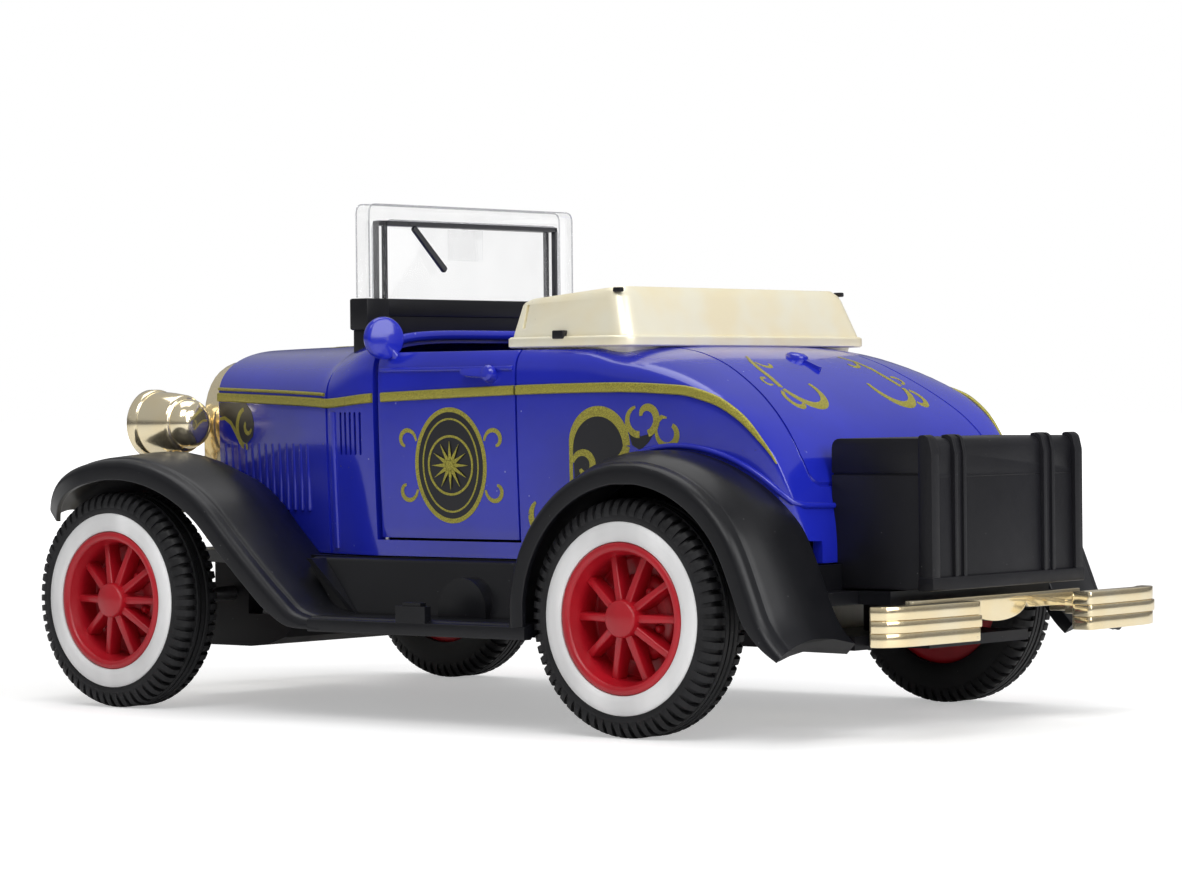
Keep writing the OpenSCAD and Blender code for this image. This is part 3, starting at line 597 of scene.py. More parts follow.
class Sweeper:
    """A Geometry Nodes tree that draws a flat band or a bead along a path."""

    def __init__(self) -> None:
        """Builds the tree."""
        tree = bpy.data.node_groups.new("band along a path", "GeometryNodeTree")
        face = tree.interface
        face.new_socket("Geometry", in_out="INPUT", socket_type="NodeSocketGeometry")
        for name, kind in (
            ("Width", "NodeSocketFloat"),
            ("Height", "NodeSocketFloat"),
            ("Corner", "NodeSocketFloat"),
            ("Finish", "NodeSocketMaterial"),
        ):
            face.new_socket(name, in_out="INPUT", socket_type=kind)
        face.new_socket("Geometry", in_out="OUTPUT", socket_type="NodeSocketGeometry")
        g = Graph(tree)
        start = g.add("NodeGroupInput")
        given = {s.name: Wire(g, s) for s in start.outputs}

        def stored(name: str, kind: str) -> Wire:
            """A stored attribute of the path."""
            return g.wire("GeometryNodeInputNamedAttribute", {"data_type": kind}, {"Name": name})

        path = g.wire("GeometryNodeMeshToCurve", inputs={"Mesh": given["Geometry"]})
        upright = g.wire(
            "GeometryNodeSetCurveNormal",
            {"mode": "FREE"},
            {"Curve": path, "Normal": stored("up", "FLOAT_VECTOR")},
        )
        outline = g.wire(
            "GeometryNodeCurvePrimitiveQuadrilateral",
            inputs={"Width": given["Width"], "Height": given["Height"]},
        )
        soft = g.wire(
            "GeometryNodeFilletCurve",
            {"mode": "POLY"},
            {"Curve": outline, "Radius": given["Corner"], "Count": 3},
        )
        band = g.wire(
            "GeometryNodeCurveToMesh",
            inputs={
                "Curve": upright,
                "Profile Curve": soft,
                "Scale": stored("swell", "FLOAT"),
                "Fill Caps": True,
            },
        )
        real = g.wire("GeometryNodeRealizeInstances", inputs={"Geometry": band})
        done = g.wire("GeometryNodeSetMaterial", inputs={"Geometry": real, "Material": given["Finish"]})
        g.add("NodeGroupOutput", inputs={"Geometry": done})
        self.tree = tree
        self.keys = {i.name: i.identifier for i in face.items_tree if i.in_out == "INPUT"}

    def run(
        self,
        path: Any,
        up: Any,
        width: float,
        height: float,
        corner: float = 0.1,
        swell: Any = 1.0,
    ) -> Shape:
        """Draws the band.

        Args:
            path: Points of the path, in millimetres.
            up: The surface's direction at each point.
            width: Width across the surface.
            height: Height off the surface, both ways.
            corner: Radius of its corners.
            swell: Scale of the section at each point.

        Returns:
            The band as a shape.
        """
        path = np.asarray(path, float)
        n = len(path)
        mesh = bpy.data.meshes.new("path")
        mesh.from_pydata([tuple(p) for p in path], [(i, i + 1) for i in range(n - 1)], [])
        ups = np.broadcast_to(np.asarray(up, float), (n, 3)).astype(np.float32)
        mesh.attributes.new("up", "FLOAT_VECTOR", "POINT").data.foreach_set("vector", ups.ravel())
        scale = np.broadcast_to(np.asarray(swell, float), (n,)).astype(np.float32)
        mesh.attributes.new("swell", "FLOAT", "POINT").data.foreach_set("value", np.ascontiguousarray(scale))
        host = linked(mesh, "path")
        mod = host.modifiers.new("band", "NODES")
        mod.node_group = self.tree
        for name, value in (("Width", height), ("Height", width), ("Corner", corner)):
            mod[self.keys[name]] = float(value)
        settled(host)
        found = from_mesh(host.data)
        bpy.data.objects.remove(host)
        return found


def from_mesh(mesh: bpy.types.Mesh) -> Shape:
    """A shape with a mesh's points and faces."""
    return Shape().add([tuple(v.co) for v in mesh.vertices], [tuple(p.vertices) for p in mesh.polygons])


# ---------------------------------------------------------------- finishes


class Surface(Graph):
    """A material's node tree, with the helpers that every finish uses."""

    def __init__(self, name: str) -> None:
        """Starts the material with its shader.

        Args:
            name: The material's name.
        """
        self.material = bpy.data.materials.new(name)
        self.material.use_nodes = True
        super().__init__(self.material.node_tree)
        self.tree.nodes.clear()
        self.shader = self.add("ShaderNodeBsdfPrincipled")
        self.shaded = Wire(self, self.shader.outputs[0])
        self.end = self.add("ShaderNodeOutputMaterial", inputs={"Surface": self.shaded})
        self.place = self.wire("ShaderNodeTexCoord", output="Object")

    def stretched(self, scale: Point) -> Wire:
        """The object's coordinates, scaled along each axis."""
        return self.wire("ShaderNodeMapping", inputs={"Vector": self.place, "Scale": scale})

    def noise(
        self,
        size: float,
        detail: float = 3.0,
        stretch: Point | None = None,
        roughness: float = 0.5,
    ) -> Wire:
        """Noise whose blobs are about size millimetres across."""
        vector = self.stretched(stretch) if stretch else self.place
        return self.wire(
            "ShaderNodeTexNoise",
            inputs={"Vector": vector, "Scale": 1 / (size * MM), "Detail": detail, "Roughness": roughness},
        )

    def cells(self, size: float) -> Wire:
        """Distance to the nearest of points about size millimetres apart."""
        return self.wire("ShaderNodeTexVoronoi", inputs={"Vector": self.place, "Scale": 1 / (size * MM)})

    def mix(self, amount: Any, first: Any, second: Any) -> Wire:
        """Blends two colours."""
        return self.wire("ShaderNodeMix", {"data_type": "RGBA"}, {0: amount, 6: first, 7: second}, output=2)

    def bump(self, height: Wire, depth: float, strength: float = 1.0) -> None:
        """Raises the surface by a height from 0 to 1, times depth in millimetres."""
        node = self.wire(
            "ShaderNodeBump", inputs={"Height": height, "Distance": depth * MM, "Strength": strength},
        )
        self.feed("Normal", node)

    def feed(self, name: str, value: Any) -> None:
        """Sets or links one of the shader's sockets."""
        socket = self.shader.inputs[name]
        if isinstance(value, Wire):
            self.tree.links.new(value.socket, socket)
        else:
            socket.default_value = value


def tint(colour: Point, share: float = 1.0) -> tuple[float, float, float, float]:
    """A colour with its alpha, scaled by share."""
    return (colour[0] * share, colour[1] * share, colour[2] * share, 1.0)


@dataclass(frozen=True)
class Enamel:
    """Gloss enamel over a diecast shell, with dust, nicks and a slight orange peel."""

    name: str
    colour: Point
    roughness: float = 0.2
    nicks: float = 1.0

    def material(self) -> bpy.types.Material:
        """Builds the material."""
        s = Surface(self.name)
        cloud = s.noise(14, 4)
        body = s.mix(cloud.step(0.3, 0.7), tint(self.colour), tint(self.colour, 0.82))
        nick = s.noise(0.55, 2).step(0.72, 0.76) * s.noise(9, 2).step(0.58, 0.66) * self.nicks
        body = s.mix(nick, body, tint(self.colour, 0.25))
        dust = s.cells(1.9).step(0.075, 0.045) * s.noise(6, 1).step(0.5, 0.6) * 0.35
        s.feed("Base Color", s.mix(dust, body, (0.5, 0.55, 0.75, 1)))
        s.feed("Roughness", s.noise(5, 3) * 0.12 + (self.roughness - 0.06) + nick * 0.3 + dust * 0.4)
        s.feed("Coat Weight", 0.5)
        s.feed("Coat Roughness", 0.06)
        s.bump(s.noise(1.6, 1) + nick * -2.0, 0.012)
        return s.material


@dataclass(frozen=True)
class LinePaint:
    """Old gold line paint with a metallic grain, rubbed in places."""

    name: str
    colour: Point

    def material(self) -> bpy.types.Material:
        """Builds the material."""
        s = Surface(self.name)
        grain = s.noise(0.12, 2)
        colour = s.mix(grain.step(0.3, 0.7), tint(self.colour, 0.62), tint(self.colour, 1.35))
        rubbed = s.noise(0.8, 3).step(0.68, 0.75) * s.noise(11, 1).step(0.52, 0.6)
        s.feed("Base Color", s.mix(rubbed, colour, tint((0.03, 0.05, 0.3))))
        s.feed("Metallic", 0.45)
        s.feed("Roughness", grain * 0.25 + 0.32)
        s.bump(grain, 0.008)
        return s.material


@dataclass(frozen=True)
class Moulded:
    """Moulded plastic with a fine grain, rub marks and a little dust."""

    name: str
    colour: Point
    roughness: float = 0.4
    grain: float = 0.006
    dust: float = 0.25
    coat: float = 0.0
    shine: float = 0.5

    def material(self) -> bpy.types.Material:
        """Builds the material."""
        s = Surface(self.name)
        flow = s.noise(11, 3, (1, 1, 0.4))
        colour = s.mix(flow.step(0.35, 0.7), tint(self.colour, 0.86), tint(self.colour, 1.18))
        speck = s.cells(1.3).step(0.07, 0.035) * s.noise(4, 1).step(0.5, 0.62) * self.dust
        s.feed("Base Color", s.mix(speck, colour, (0.35, 0.35, 0.37, 1)))
        rub = s.noise(2.6, 4, (0.35, 1, 1))
        s.feed("Roughness", rub * 0.2 + (self.roughness - 0.1) + speck * 0.3)
        s.feed("Specular IOR Level", self.shine)
        s.feed("Coat Weight", self.coat)
        s.feed("Coat Roughness", 0.12)
        s.bump(s.noise(0.16, 2) + rub * 0.8, self.grain)
        return s.material


@dataclass(frozen=True)
class Plated:
    """Vacuum plated plastic: bright, with soft smears, pits and rubbed spots."""

    name: str
    colour: Point
    roughness: float = 0.12
    ripple: float = 0.02
    rubbed: float = 1.0
    metal: float = 1.0

    def material(self) -> bpy.types.Material:
        """Builds the material."""
        s = Surface(self.name)
        warm = s.noise(7, 2)
        colour = s.mix(
            warm.step(0.3, 0.7), tint(self.colour),
            tint((self.colour[0], self.colour[1] * 0.94, self.colour[2] * 0.82)),
        )
        pit = s.noise(0.5, 2).step(0.74, 0.78) * s.noise(5, 1).step(0.55, 0.62) * self.rubbed
        s.feed("Base Color", s.mix(pit, colour, (0.03, 0.022, 0.012, 1)))
        s.feed("Metallic", (pit * -0.8 + 1.0) * self.metal)
        s.feed("Roughness", s.noise(3, 4) * 0.14 + (self.roughness - 0.05) + pit * 0.3)
        s.bump(s.noise(3.5, 2), self.ripple)
        return s.material


@dataclass(frozen=True)
class Rubber:
    """Soft black plastic of the tyres, dull, with dust in the grooves."""

    name: str
    colour: Point = (0.008, 0.008, 0.009)

    def material(self) -> bpy.types.Material:
        """Builds the material."""
        s = Surface(self.name)
        haze = s.noise(3.2, 4)
        colour = s.mix(haze.step(0.35, 0.75), tint(self.colour), tint(self.colour, 1.9))
        speck = s.cells(0.9).step(0.08, 0.04) * s.noise(3, 1).step(0.5, 0.6) * 0.3
        s.feed("Base Color", s.mix(speck, colour, (0.3, 0.3, 0.3, 1)))
        s.feed("Roughness", haze * 0.22 + 0.42)
        s.feed("Specular IOR Level", 0.35)
        s.bump(s.noise(0.2, 3), 0.01)
        return s.material


@dataclass(frozen=True)
class Clear:
    """Clear moulded plastic with faint haze and scratches."""

    name: str
    colour: Point = (0.97, 0.98, 1.0)
    roughness: float = 0.02
    body: float = 0.9

    def material(self) -> bpy.types.Material:
        """Builds the material."""
        s = Surface(self.name)
        smear = s.noise(4, 3)
        s.feed("Base Color", s.mix(smear, tint(self.colour), tint(self.colour, 0.96)))
        scratch = s.noise(0.35, 2, (1, 1, 0.05)).step(0.72, 0.8)
        s.feed("Roughness", smear * 0.03 + self.roughness + scratch * 0.12)
        s.feed("Transmission Weight", 1.0)
        s.feed("IOR", 1.49)
        s.bump(smear, 0.01)
        through = s.wire("ShaderNodeBsdfTransparent")
        mixed = s.wire("ShaderNodeMixShader", inputs={0: smear * 0.1 + self.body, 1: through, 2: s.shaded})
        s.tree.links.new(mixed.socket, s.end.inputs["Surface"])
        return s.material


@dataclass(frozen=True)
class Bright:
    """Drawn or turned bright metal with fine lines along one axis."""

    name: str
    colour: Point
    stretch: tuple[float, float, float] = (1, 0.04, 1)

    def material(self) -> bpy.types.Material:
        """Builds the material."""
        s = Surface(self.name)
        lines = s.noise(0.3, 3, self.stretch)
        s.feed("Base Color", s.mix(lines, tint(self.colour, 0.8), tint(self.colour, 1.1)))
        s.feed("Metallic", 1.0)
        s.feed("Roughness", lines * 0.2 + 0.2)
        s.bump(lines, 0.006)
        return s.material


@dataclass(frozen=True)
class Paintbox:
    """Every material of the car, made once."""

    blue: bpy.types.Material
    line: bpy.types.Material
    ink: bpy.types.Material
    black: bpy.types.Material
    satin: bpy.types.Material
    gold: bpy.types.Material
    champagne: bpy.types.Material
    red: bpy.types.Material
    white: bpy.types.Material
    rubber: bpy.types.Material
    clear: bpy.types.Material
    smoke: bpy.types.Material
    lens: bpy.types.Material
    steel: bpy.types.Material
    ivory: bpy.types.Material
    acetal: bpy.types.Material
    grey: bpy.types.Material

    @staticmethod
    def mixed() -> "Paintbox":
        """Builds all the materials."""
        return Paintbox(
            blue=Enamel("royal blue enamel", (0.013, 0.023, 0.50), 0.16).material(),
            line=LinePaint("old gold line paint", (0.40, 0.36, 0.06)).material(),
            ink=Moulded("black printed fill", (0.008, 0.008, 0.012), 0.34, 0.002, 0.1).material(),
            black=Moulded("black moulded plastic", (0.0085, 0.0085, 0.011), 0.42, shine=0.3).material(),
            satin=Moulded(
                "satin black plastic", (0.0062, 0.0064, 0.0085), 0.34, 0.004, shine=0.35,
            ).material(),
            gold=Plated("gold plating", (1.0, 0.89, 0.64), metal=0.88).material(),
            champagne=Plated("champagne plating", (1.0, 0.95, 0.76), 0.3, 0.012, 0.4, 0.35).material(),
            red=Moulded("red wheel plastic", (0.46, 0.006, 0.016), 0.38, 0.004, 0.1, 0.15).material(),
            white=Moulded("white wall plastic", (0.84, 0.84, 0.84), 0.46, 0.004, 0.15).material(),
            rubber=Rubber("tyre").material(),
            clear=Clear("clear screen plastic", body=0.06).material(),
            smoke=Clear("screen edge", (0.45, 0.46, 0.5), 0.2, 0.55).material(),
            lens=Clear("headlight lens", (0.95, 0.97, 1.0), 0.05, 0.9).material(),
            steel=Bright("drawn steel", (0.62, 0.62, 0.64)).material(),
            ivory=Moulded("ivory motor plastic", (0.62, 0.6, 0.52), 0.35, 0.004, 0.2).material(),
            acetal=Moulded("gear plastic", (0.78, 0.72, 0.55), 0.3, 0.003, 0.1).material(),
            grey=Moulded("smoked moulding", (0.05, 0.05, 0.055), 0.3, 0.003, 0.2).material(),
        )


@dataclass(frozen=True)
class Shop:
    """What every sub-assembly needs to build: the materials and the two trees."""

    paint: Paintbox
    repeat: Repeater
    sweep: Sweeper


# ---------------------------------------------------------------- coachwork


@dataclass(frozen=True)
class BodyForm:
    """The body's surface: half width, crown and belt along the car.

    Attributes:
        half: Half width at the belt.
        top: Height of the crown.
        belt: Height of the belt line.
        power: How square the section is above the belt.
        sill: Height of the lower edge.
        lean: How far the sides lean in at the sill.
    """

    half: Line = Line((
        (-57.2, 19.8), (-56.9, 21.0), (-56.3, 22.2), (-55, 23.3), (-50, 24.4), (-44, 25), (-20, 25.15),
        (4, 25),
        (13.4, 22.95), (14.5, 22.6), (15.5, 22.26), (20, 20.72), (27, 18.33), (34, 15.94), (42.6, 13),
    ))
    top: Line = Line((
        (-57.2, 21), (-57.05, 23.4), (-56.6, 26.8), (-55.4, 30.8), (-53.4, 33.9), (-50, 37), (-45, 40.3),
        (-41, 42.3),
        (-37, 43.5), (-33, 44.1), (-28, 45), (6, 46.3), (14.4, 46.2), (14.8, 45.5), (42.6, 44.7),
    ))
    belt: Line = Line((
        (-57.2, 20.4), (-57, 22.4), (-56.4, 25.8), (-55, 30.3), (-53.2, 33), (-50.4, 35.9), (-47, 37.8),
        (-42.7, 38.8),
        (-33, 39.2), (4, 38.3), (13, 37.7), (14.5, 37.65), (16, 37.75), (42.6, 38.6),
    ))
    power: Line = Line(
        ((-57.2, 2.8), (-46, 3), (-34, 3.6), (-28, 4.6), (4, 4.8), (12, 3), (16, 2.4), (42.6, 2.3))
    )
    sill: float = 19.3
    lean: float = 0.7

    def section(
        self,
        x: float,
        inset: float = 0.0,
        steps: int = 56,
        drop: float = 0.0,
    ) -> list[tuple[float, float, float]]:
        """One ring of the body.

        Args:
            x: Where along the car.
            inset: How far inside the surface.
            steps: Segments over the top.
            drop: How far the ring goes below the sill.

        Returns:
            The ring's points.
        """
        w = float(self.half.at(x)) - inset
        low = float(self.belt.at(x)) - inset / 2
        high = float(self.top.at(x)) - inset
        p = 2 / float(self.power.at(x))
        base = self.sill - drop
        ring = [(x, w - self.lean, base)]
        for t in np.linspace(0.08, 0.92, 9):
            ring.append((x, w - self.lean * (1 - t) ** 1.5, base + (low - base) * t))
        for a in np.linspace(0, math.pi, steps + 1):
            c, s = math.cos(a), math.sin(a)
            ring.append((x, math.copysign(abs(c) ** p * w, c), low + (high - low) * abs(s) ** p))
        for t in np.linspace(0.92, 0.08, 9):
            ring.append((x, self.lean * (1 - t) ** 1.5 - w, base + (low - base) * t))
        ring.append((x, self.lean - w, base))
        return ring

    def side(self, x: Any, z: Any) -> np.ndarray:
        """The surface's half width at places along the car and heights."""
        x, z = np.asarray(x, float), np.asarray(z, float)
        w, low, high, p = (line.at(x) for line in (self.half, self.belt, self.top, self.power))
        below = w - self.lean * np.clip(1 - (z - self.sill) / (low - self.sill), 0, 1) ** 1.5
        rise = np.clip((z - low) / (high - low), 0, 0.999)
        return np.where(z <= low, below, w * (1 - rise ** p) ** (1 / p))

    def deck(self, x: Any, y: Any) -> np.ndarray:
        """The surface's height at places along and across the car."""
        x, y = np.asarray(x, float), np.asarray(y, float)
        w, low, high, p = (line.at(x) for line in (self.half, self.belt, self.top, self.power))
        return low + (high - low) * (1 - np.clip(np.abs(y) / w, 0, 0.999) ** p) ** (1 / p)

    def on_side(self, points: Any, lift: float = 0.0) -> np.ndarray:
        """Points of the left side at (x, z) pairs, lifted off the surface."""
        points = np.asarray(points, float)
        y = self.side(points[:, 0], points[:, 1]) + lift
        return np.column_stack([points[:, 0], y, points[:, 1]])

    def on_deck(self, points: Any, lift: float = 0.0) -> np.ndarray:
        """Points of the top at (x, y) pairs, lifted off the surface."""
        points = np.asarray(points, float)
        z = self.deck(points[:, 0], points[:, 1]) + lift
        return np.column_stack([points[:, 0], points[:, 1], z])

    def outwards(self, points: np.ndarray) -> np.ndarray:
        """The surface's direction at points of the left side."""
        reach = 0.15
        x, z = points[:, 0], points[:, 2]
        slope_x = (self.side(x + reach, z) - self.side(x - reach, z)) / (2 * reach)
        slope_z = (self.side(x, z + reach) - self.side(x, z - reach)) / (2 * reach)
        found = np.column_stack([-slope_x, np.ones(len(x)), -slope_z])
        return found / np.linalg.norm(found, axis=1)[:, None]


def stroke(
    form: BodyForm,
    path: Sequence[Point],
    start: float,
    middle: float,
    end: float,
    on_deck: bool = False,
    lift: float = 0.045,
) -> Shape:
    """A painted stroke on the body.

    Args:
        form: The body's surface.
        path: The stroke's centre line, (x, z) on the side or (x, y) on the deck.
        start: Its width at the first point.
        middle: Its width halfway.
        end: Its width at the last point.
        on_deck: Whether it lies on the deck.
        lift: The paint's height above the surface.

    Returns:
        A thin closed film.
    """
    centre = np.asarray(path, float)
    way = np.gradient(centre, axis=0)
    way /= np.maximum(np.linalg.norm(way, axis=1), 1e-9)[:, None]
    across = np.column_stack([-way[:, 1], way[:, 0]])
    t = np.linspace(0, 1, len(centre))
    width = (start * (1 - t) * (1 - 2 * t) + 4 * middle * t * (1 - t) + end * t * (2 * t - 1)) / 2
    width = np.maximum(width, 0.05)[:, None]
    put = form.on_deck if on_deck else form.on_side
    rings = [
        put(centre + across * width, lift),
        put(centre - across * width, lift),
        put(centre - across * width, -0.15),
        put(centre + across * width, -0.15),
    ]
    return Shape().loft(np.stack(rings, axis=1))


def patch(form: BodyForm, outline: Sequence[Point], lift: float = 0.03) -> Shape:
    """A painted area on the body's side, fanned from its middle."""
    edge = np.asarray(outline, float)
    middle = edge.mean(axis=0)
    rings = []
    for share in (1.0, 0.75, 0.5, 0.25, 0.02):
        rings.append(form.on_side(middle + (edge - middle) * share, lift))
    rings.insert(0, form.on_side(edge, -0.15))
    shape = Shape().loft(np.array(rings), caps=False)
    cap = [tuple(range(len(edge)))]
    return shape.add(rings[0], cap).add(rings[-1], cap)


def curl(
    x: float,
    z: float,
    r0: float,
    r1: float,
    a0: float,
    a1: float,
    steps: int = 28,
) -> list[tuple[float, float]]:
    """A spiral about a centre, from radius r0 at angle a0 to r1 at a1, in degrees."""
    t = np.linspace(0, 1, steps)
    a = np.radians(a0 + (a1 - a0) * t)
    r = r0 + (r1 - r0) * t
    return [(x + q * math.cos(b), z + q * math.sin(b)) for q, b in zip(r, a)]


@dataclass
class Coachwork:
    """The diecast body, its doors, mouldings, louvres and painted lines.

    Attributes:
        shop: Materials and trees.
        form: The body's surface.
        wall: Thickness of the shell.
        rim: Height of the cockpit's rim.
        door_front: Front edge of the doors.
        door_rear: Rear edge of the doors.
        door_low: Lower edge of the doors.
        belt_width: Width of the belt moulding.
        louvres: Ribs on each side of the bonnet.
        arch: Middle of the left wheel arch, along the car and up.
        arch_r: Radius of its opening.
        lid_knob: Where the deck lid's knob is.
        handle_z: Height of the door handles.
        badge: Middle of the door's badge, along the car and up.
    """

    shop: Shop
    form: BodyForm = field(default_factory=BodyForm)
    wall: float = 1.3
    rim: float = 43.7
    door_front: float = 3.6
    door_rear: float = -18.2
    door_low: float = 21.5
    belt_width: float = 1.15
    louvres: int = 13
    arch: tuple[float, float] = (-42, 13.4)
    arch_r: float = 17.3
    lid_knob: float = -40.5
    handle_z: float = 40.9
    badge: tuple[float, float] = (-7.9, 30.2)

    def shell(self) -> Shape:
        """The hollow body without openings."""
        stations = np.concatenate([
            (-57.2, -57.12), np.linspace(-57, -46, 20), np.linspace(-45, 13.6, 44),
            (14.15, 14.3, 14.5, 14.65), np.linspace(15.2, 42.6, 24),
        ])
        shut = Line(((14.15, 0), (14.3, 0.32), (14.5, 0.32), (14.65, 0)))
        outer = Shape().loft(
            [self.form.section(x, float(shut.at(x)) if 14 < x < 15 else 0.0) for x in stations]
        )
        inner = Shape().loft([self.form.section(x, self.wall, 30, 2.0) for x in np.linspace(-55.9, 41.2, 40)])
        return carved(outer, inner)

    def door_room(self, grow: float) -> Shape:
        """The space of the left door, grown all round by its gaps."""
        low = (self.door_rear - 0.3 * grow, 21.6, self.door_low - 0.3 * grow)
        return Shape().block(low, (self.door_front + 0.9 * grow, 29, 49))

    def body(self) -> None:
        """The body with its openings, vents, lid grooves and beads."""
        arch = Shape().slab(arc(*self.arch, self.arch_r, 0, 360, 96)[:-1], -28.5, -18, along_y())
        slot = Shape().slab(
            rounded([(0, 31.4), (0.45, 31.4), (0.45, 36.6), (0, 36.6)], 0.2, 3), -27, -21, along_y(),
        )
        vents = self.shop.repeat.run(slot, 5, Matrix.Translation((6.8, 0, 0)), step=(1.05, 0, 0))
        cockpit = Shape().block((-29, -22.9, 15), (5.2, 22.9, 60))
        opening = Shape().block((-33, -30, self.rim), (3.8, 30, 60))
        cuts = (
            cockpit, opening, self.door_room(1).both(), arch.both(), vents.both(), self.lid_groove().both(),
        )
        whole = carved(self.shell(), *cuts)
        whole.join(self.rim_roll()).join(self.arch_bead().both()).join(self.bonnet_louvres().both())
        whole.join(self.lid_handle()).join(self.cowl_strip().both())
        piece("body_paint", whole, self.shop.paint.blue, Body.CAR, "paint", "body_shell", crease=30)

    def lid_groove(self) -> Shape:
        """The shut line down the left of the rear deck."""
        xs = np.linspace(-33.4, -55.8, 48)
        ys = Line(
            (
                (-55.8, 18.7), (-54.9, 19), (-52.4, 18.4), (-47.7, 16.8), (-42.3, 15.4), (-37.4, 14.6),
                (-33, 14.2),
            )
        ).at(xs)
        path = np.column_stack([xs, ys, self.form.deck(xs, ys)])
        foot = path[-1]
        turn = [
            (foot[0] - 0.25, foot[1] - 0.6), (foot[0] - 0.4, foot[1] - 1.6), (foot[0] - 0.45, foot[1] - 4),
        ]
        path = np.vstack([path, self.form.on_deck(turn)])
        return self.shop.sweep.run(path, (-0.5, 0.3, 1), 0.36, 0.6)

    def rim_roll(self) -> Shape:
        """The rolled edge of the scuttle, over the dashboard."""
        ys = np.linspace(-21.6, 21.6, 61)
        path = np.column_stack([np.full(61, 5.0), ys, self.form.deck(5.2, ys) - 0.35])
        return self.shop.sweep.run(path, (1, 0, 0), 1.2, 1.5, 0.55)

    def arch_bead(self) -> Shape:
        """The raised bead over the left rear wheel."""
        path = np.array(arc(-42, 13.2, 19.3, 146, 44, 60))
        return self.bead(path, 0.7, 0.7, 0.3)

    def bead(self, path: np.ndarray, width: float, height: float, corner: float, swell: Any = 1.0) -> Shape:
        """A band on the left side along (x, z) points."""
        points = self.form.on_side(path)
        return self.shop.sweep.run(points, self.form.outwards(points), width, height, corner, swell)

    def cowl_strip(self) -> Shape:
        """The upright moulding where the bonnet meets the left of the scuttle."""
        zs = np.linspace(20, 36.6, 24)
        return self.bead(np.column_stack([np.full(24, 13.0), zs]), 1.1, 0.5, 0.2)

    def bonnet_louvres(self) -> Shape:
        """The pressed ribs on the left of the bonnet."""
        rings = []
        for h, share in ((24.3, 0.1), (24.45, 0.75), (24.8, 1), (32.6, 1), (32.95, 0.75), (33.1, 0.1)):
            section = rounded(
                [(-0.5, -0.7), (-0.42 * share, 0.3 * share), (0.42 * share, 0.3 * share), (0.5, -0.7)], 0.22,
                3,
            )
            rings.append([(x * 0.95, y, h) for x, y in section])
        angle = -math.atan2(22.26 - 13, 42.6 - 15.5)
        start = 41.0
        y = float(self.form.side(start, 28.5)) - 0.12
        place = Matrix.Translation((start, y, 0)) @ Matrix.Rotation(angle, 4, "Z")
        return self.shop.repeat.run(Shape().loft(rings), self.louvres, place, step=(-1.9, 0, 0))

    def lid_handle(self) -> Shape:
        """The deck lid's knob and lever."""
        x = self.lid_knob
        top = float(self.form.deck(x, 0))
        knob = [(0.0, 0.6), (0.8, 0.56), (1.25, 0.35), (1.4, 0.0), (1.4, -0.6)]
        shape = Shape().turned(knob, 32, facing((x, 0, top + 0.1), (-0.25, 0, 1)))
        lever = rounded([(0.3, 0.4), (-3.6, 0.28), (-3.9, 0), (-3.6, -0.28), (0.3, -0.4)], 0.25, 3)
        return shape.slab(lever, -0.35, 0.25, facing((x, 0, top + 0.1), (-0.42, 0, 1)))

    def door(self, side: Side) -> None:
        """A door skin with its frame, mirror and handle."""
        room = self.door_room(0)
        room.verts = [(x, y, min(z, self.rim)) for x, y, z in room.verts]
        shape = carved(self.shell(), room, keep="INTERSECT")
        shape.block(
            (self.door_rear + 0.6, 22.1, self.door_low), (self.door_front - 2.4, 23.7, self.door_low + 1.2),
        )
        shape.block((self.door_rear, 22.1, self.door_low), (self.door_rear + 1.2, 23.7, self.rim - 4))
        ledge = np.column_stack(
            [np.linspace(self.door_rear + 0.3, self.door_front - 0.4, 24), np.full(24, 41.6)]
        )
        shape.join(self.bead(ledge, 0.55, 0.55, 0.2))
        x, z = self.door_rear + 3.7, self.handle_z
        y = float(self.form.side(x, z))
        boss = [(0.0, 1.15), (0.6, 1.1), (0.95, 0.8), (1.05, 0.2), (1.1, -0.8)]
        shape.turned(boss, 28, facing((x, y, z), (0, 1, 0.25)))
        lever = rounded([(-0.3, 0.62), (3.6, 0.42), (4.1, 0), (3.6, -0.42), (-0.3, -0.62)], 0.3, 3)
        shape.slab(lever, 0.15, 0.95, facing((x, y, z), (-0.05, 1, 0.3)))
        disc = [
            (0.0, 0.75), (2.0, 0.72), (2.4, 0.56), (2.6, 0.2), (2.6, -0.2), (2.4, -0.5), (2.1, -0.55),
            (1.9, -0.38), (0.0, -0.32),
        ]
        tilt = (-0.93, 0.36, 0.05)
        shape.turned(disc, 56, facing((2.3, 25.3, 45.4), tilt))
        stalk = [(0.0, 0.0), (0.5, 0.05), (0.5, 2.0), (0.55, 2.9), (0.0, 3.0)]
        shape.turned(stalk, 20, facing((0.8, 23.8, 42.3), (0.48, 0.42, 0.85)))
        paint, name = self.shop.paint, side.word
        piece(f"door_skin_{name}", shape.on(side), paint.blue, side.door, "paint", f"door_{name}", bevel=0.1)
        band = self.belt_band(np.linspace(self.door_rear, self.door_front - 0.6, 26))
        piece(f"door_belt_{name}", band.on(side), paint.line, side.door, "paint", crease=40)

    def belt_band(
        self,
        xs: np.ndarray,
        swell: Any = 1.0,
        rise: float = 0.0,
        width: float | None = None,
    ) -> Shape:
        """The belt moulding along part of the left side."""
        path = np.column_stack([xs, self.form.belt.at(xs) + rise])
        return self.bead(path, width or self.belt_width, 0.62, 0.22, swell)

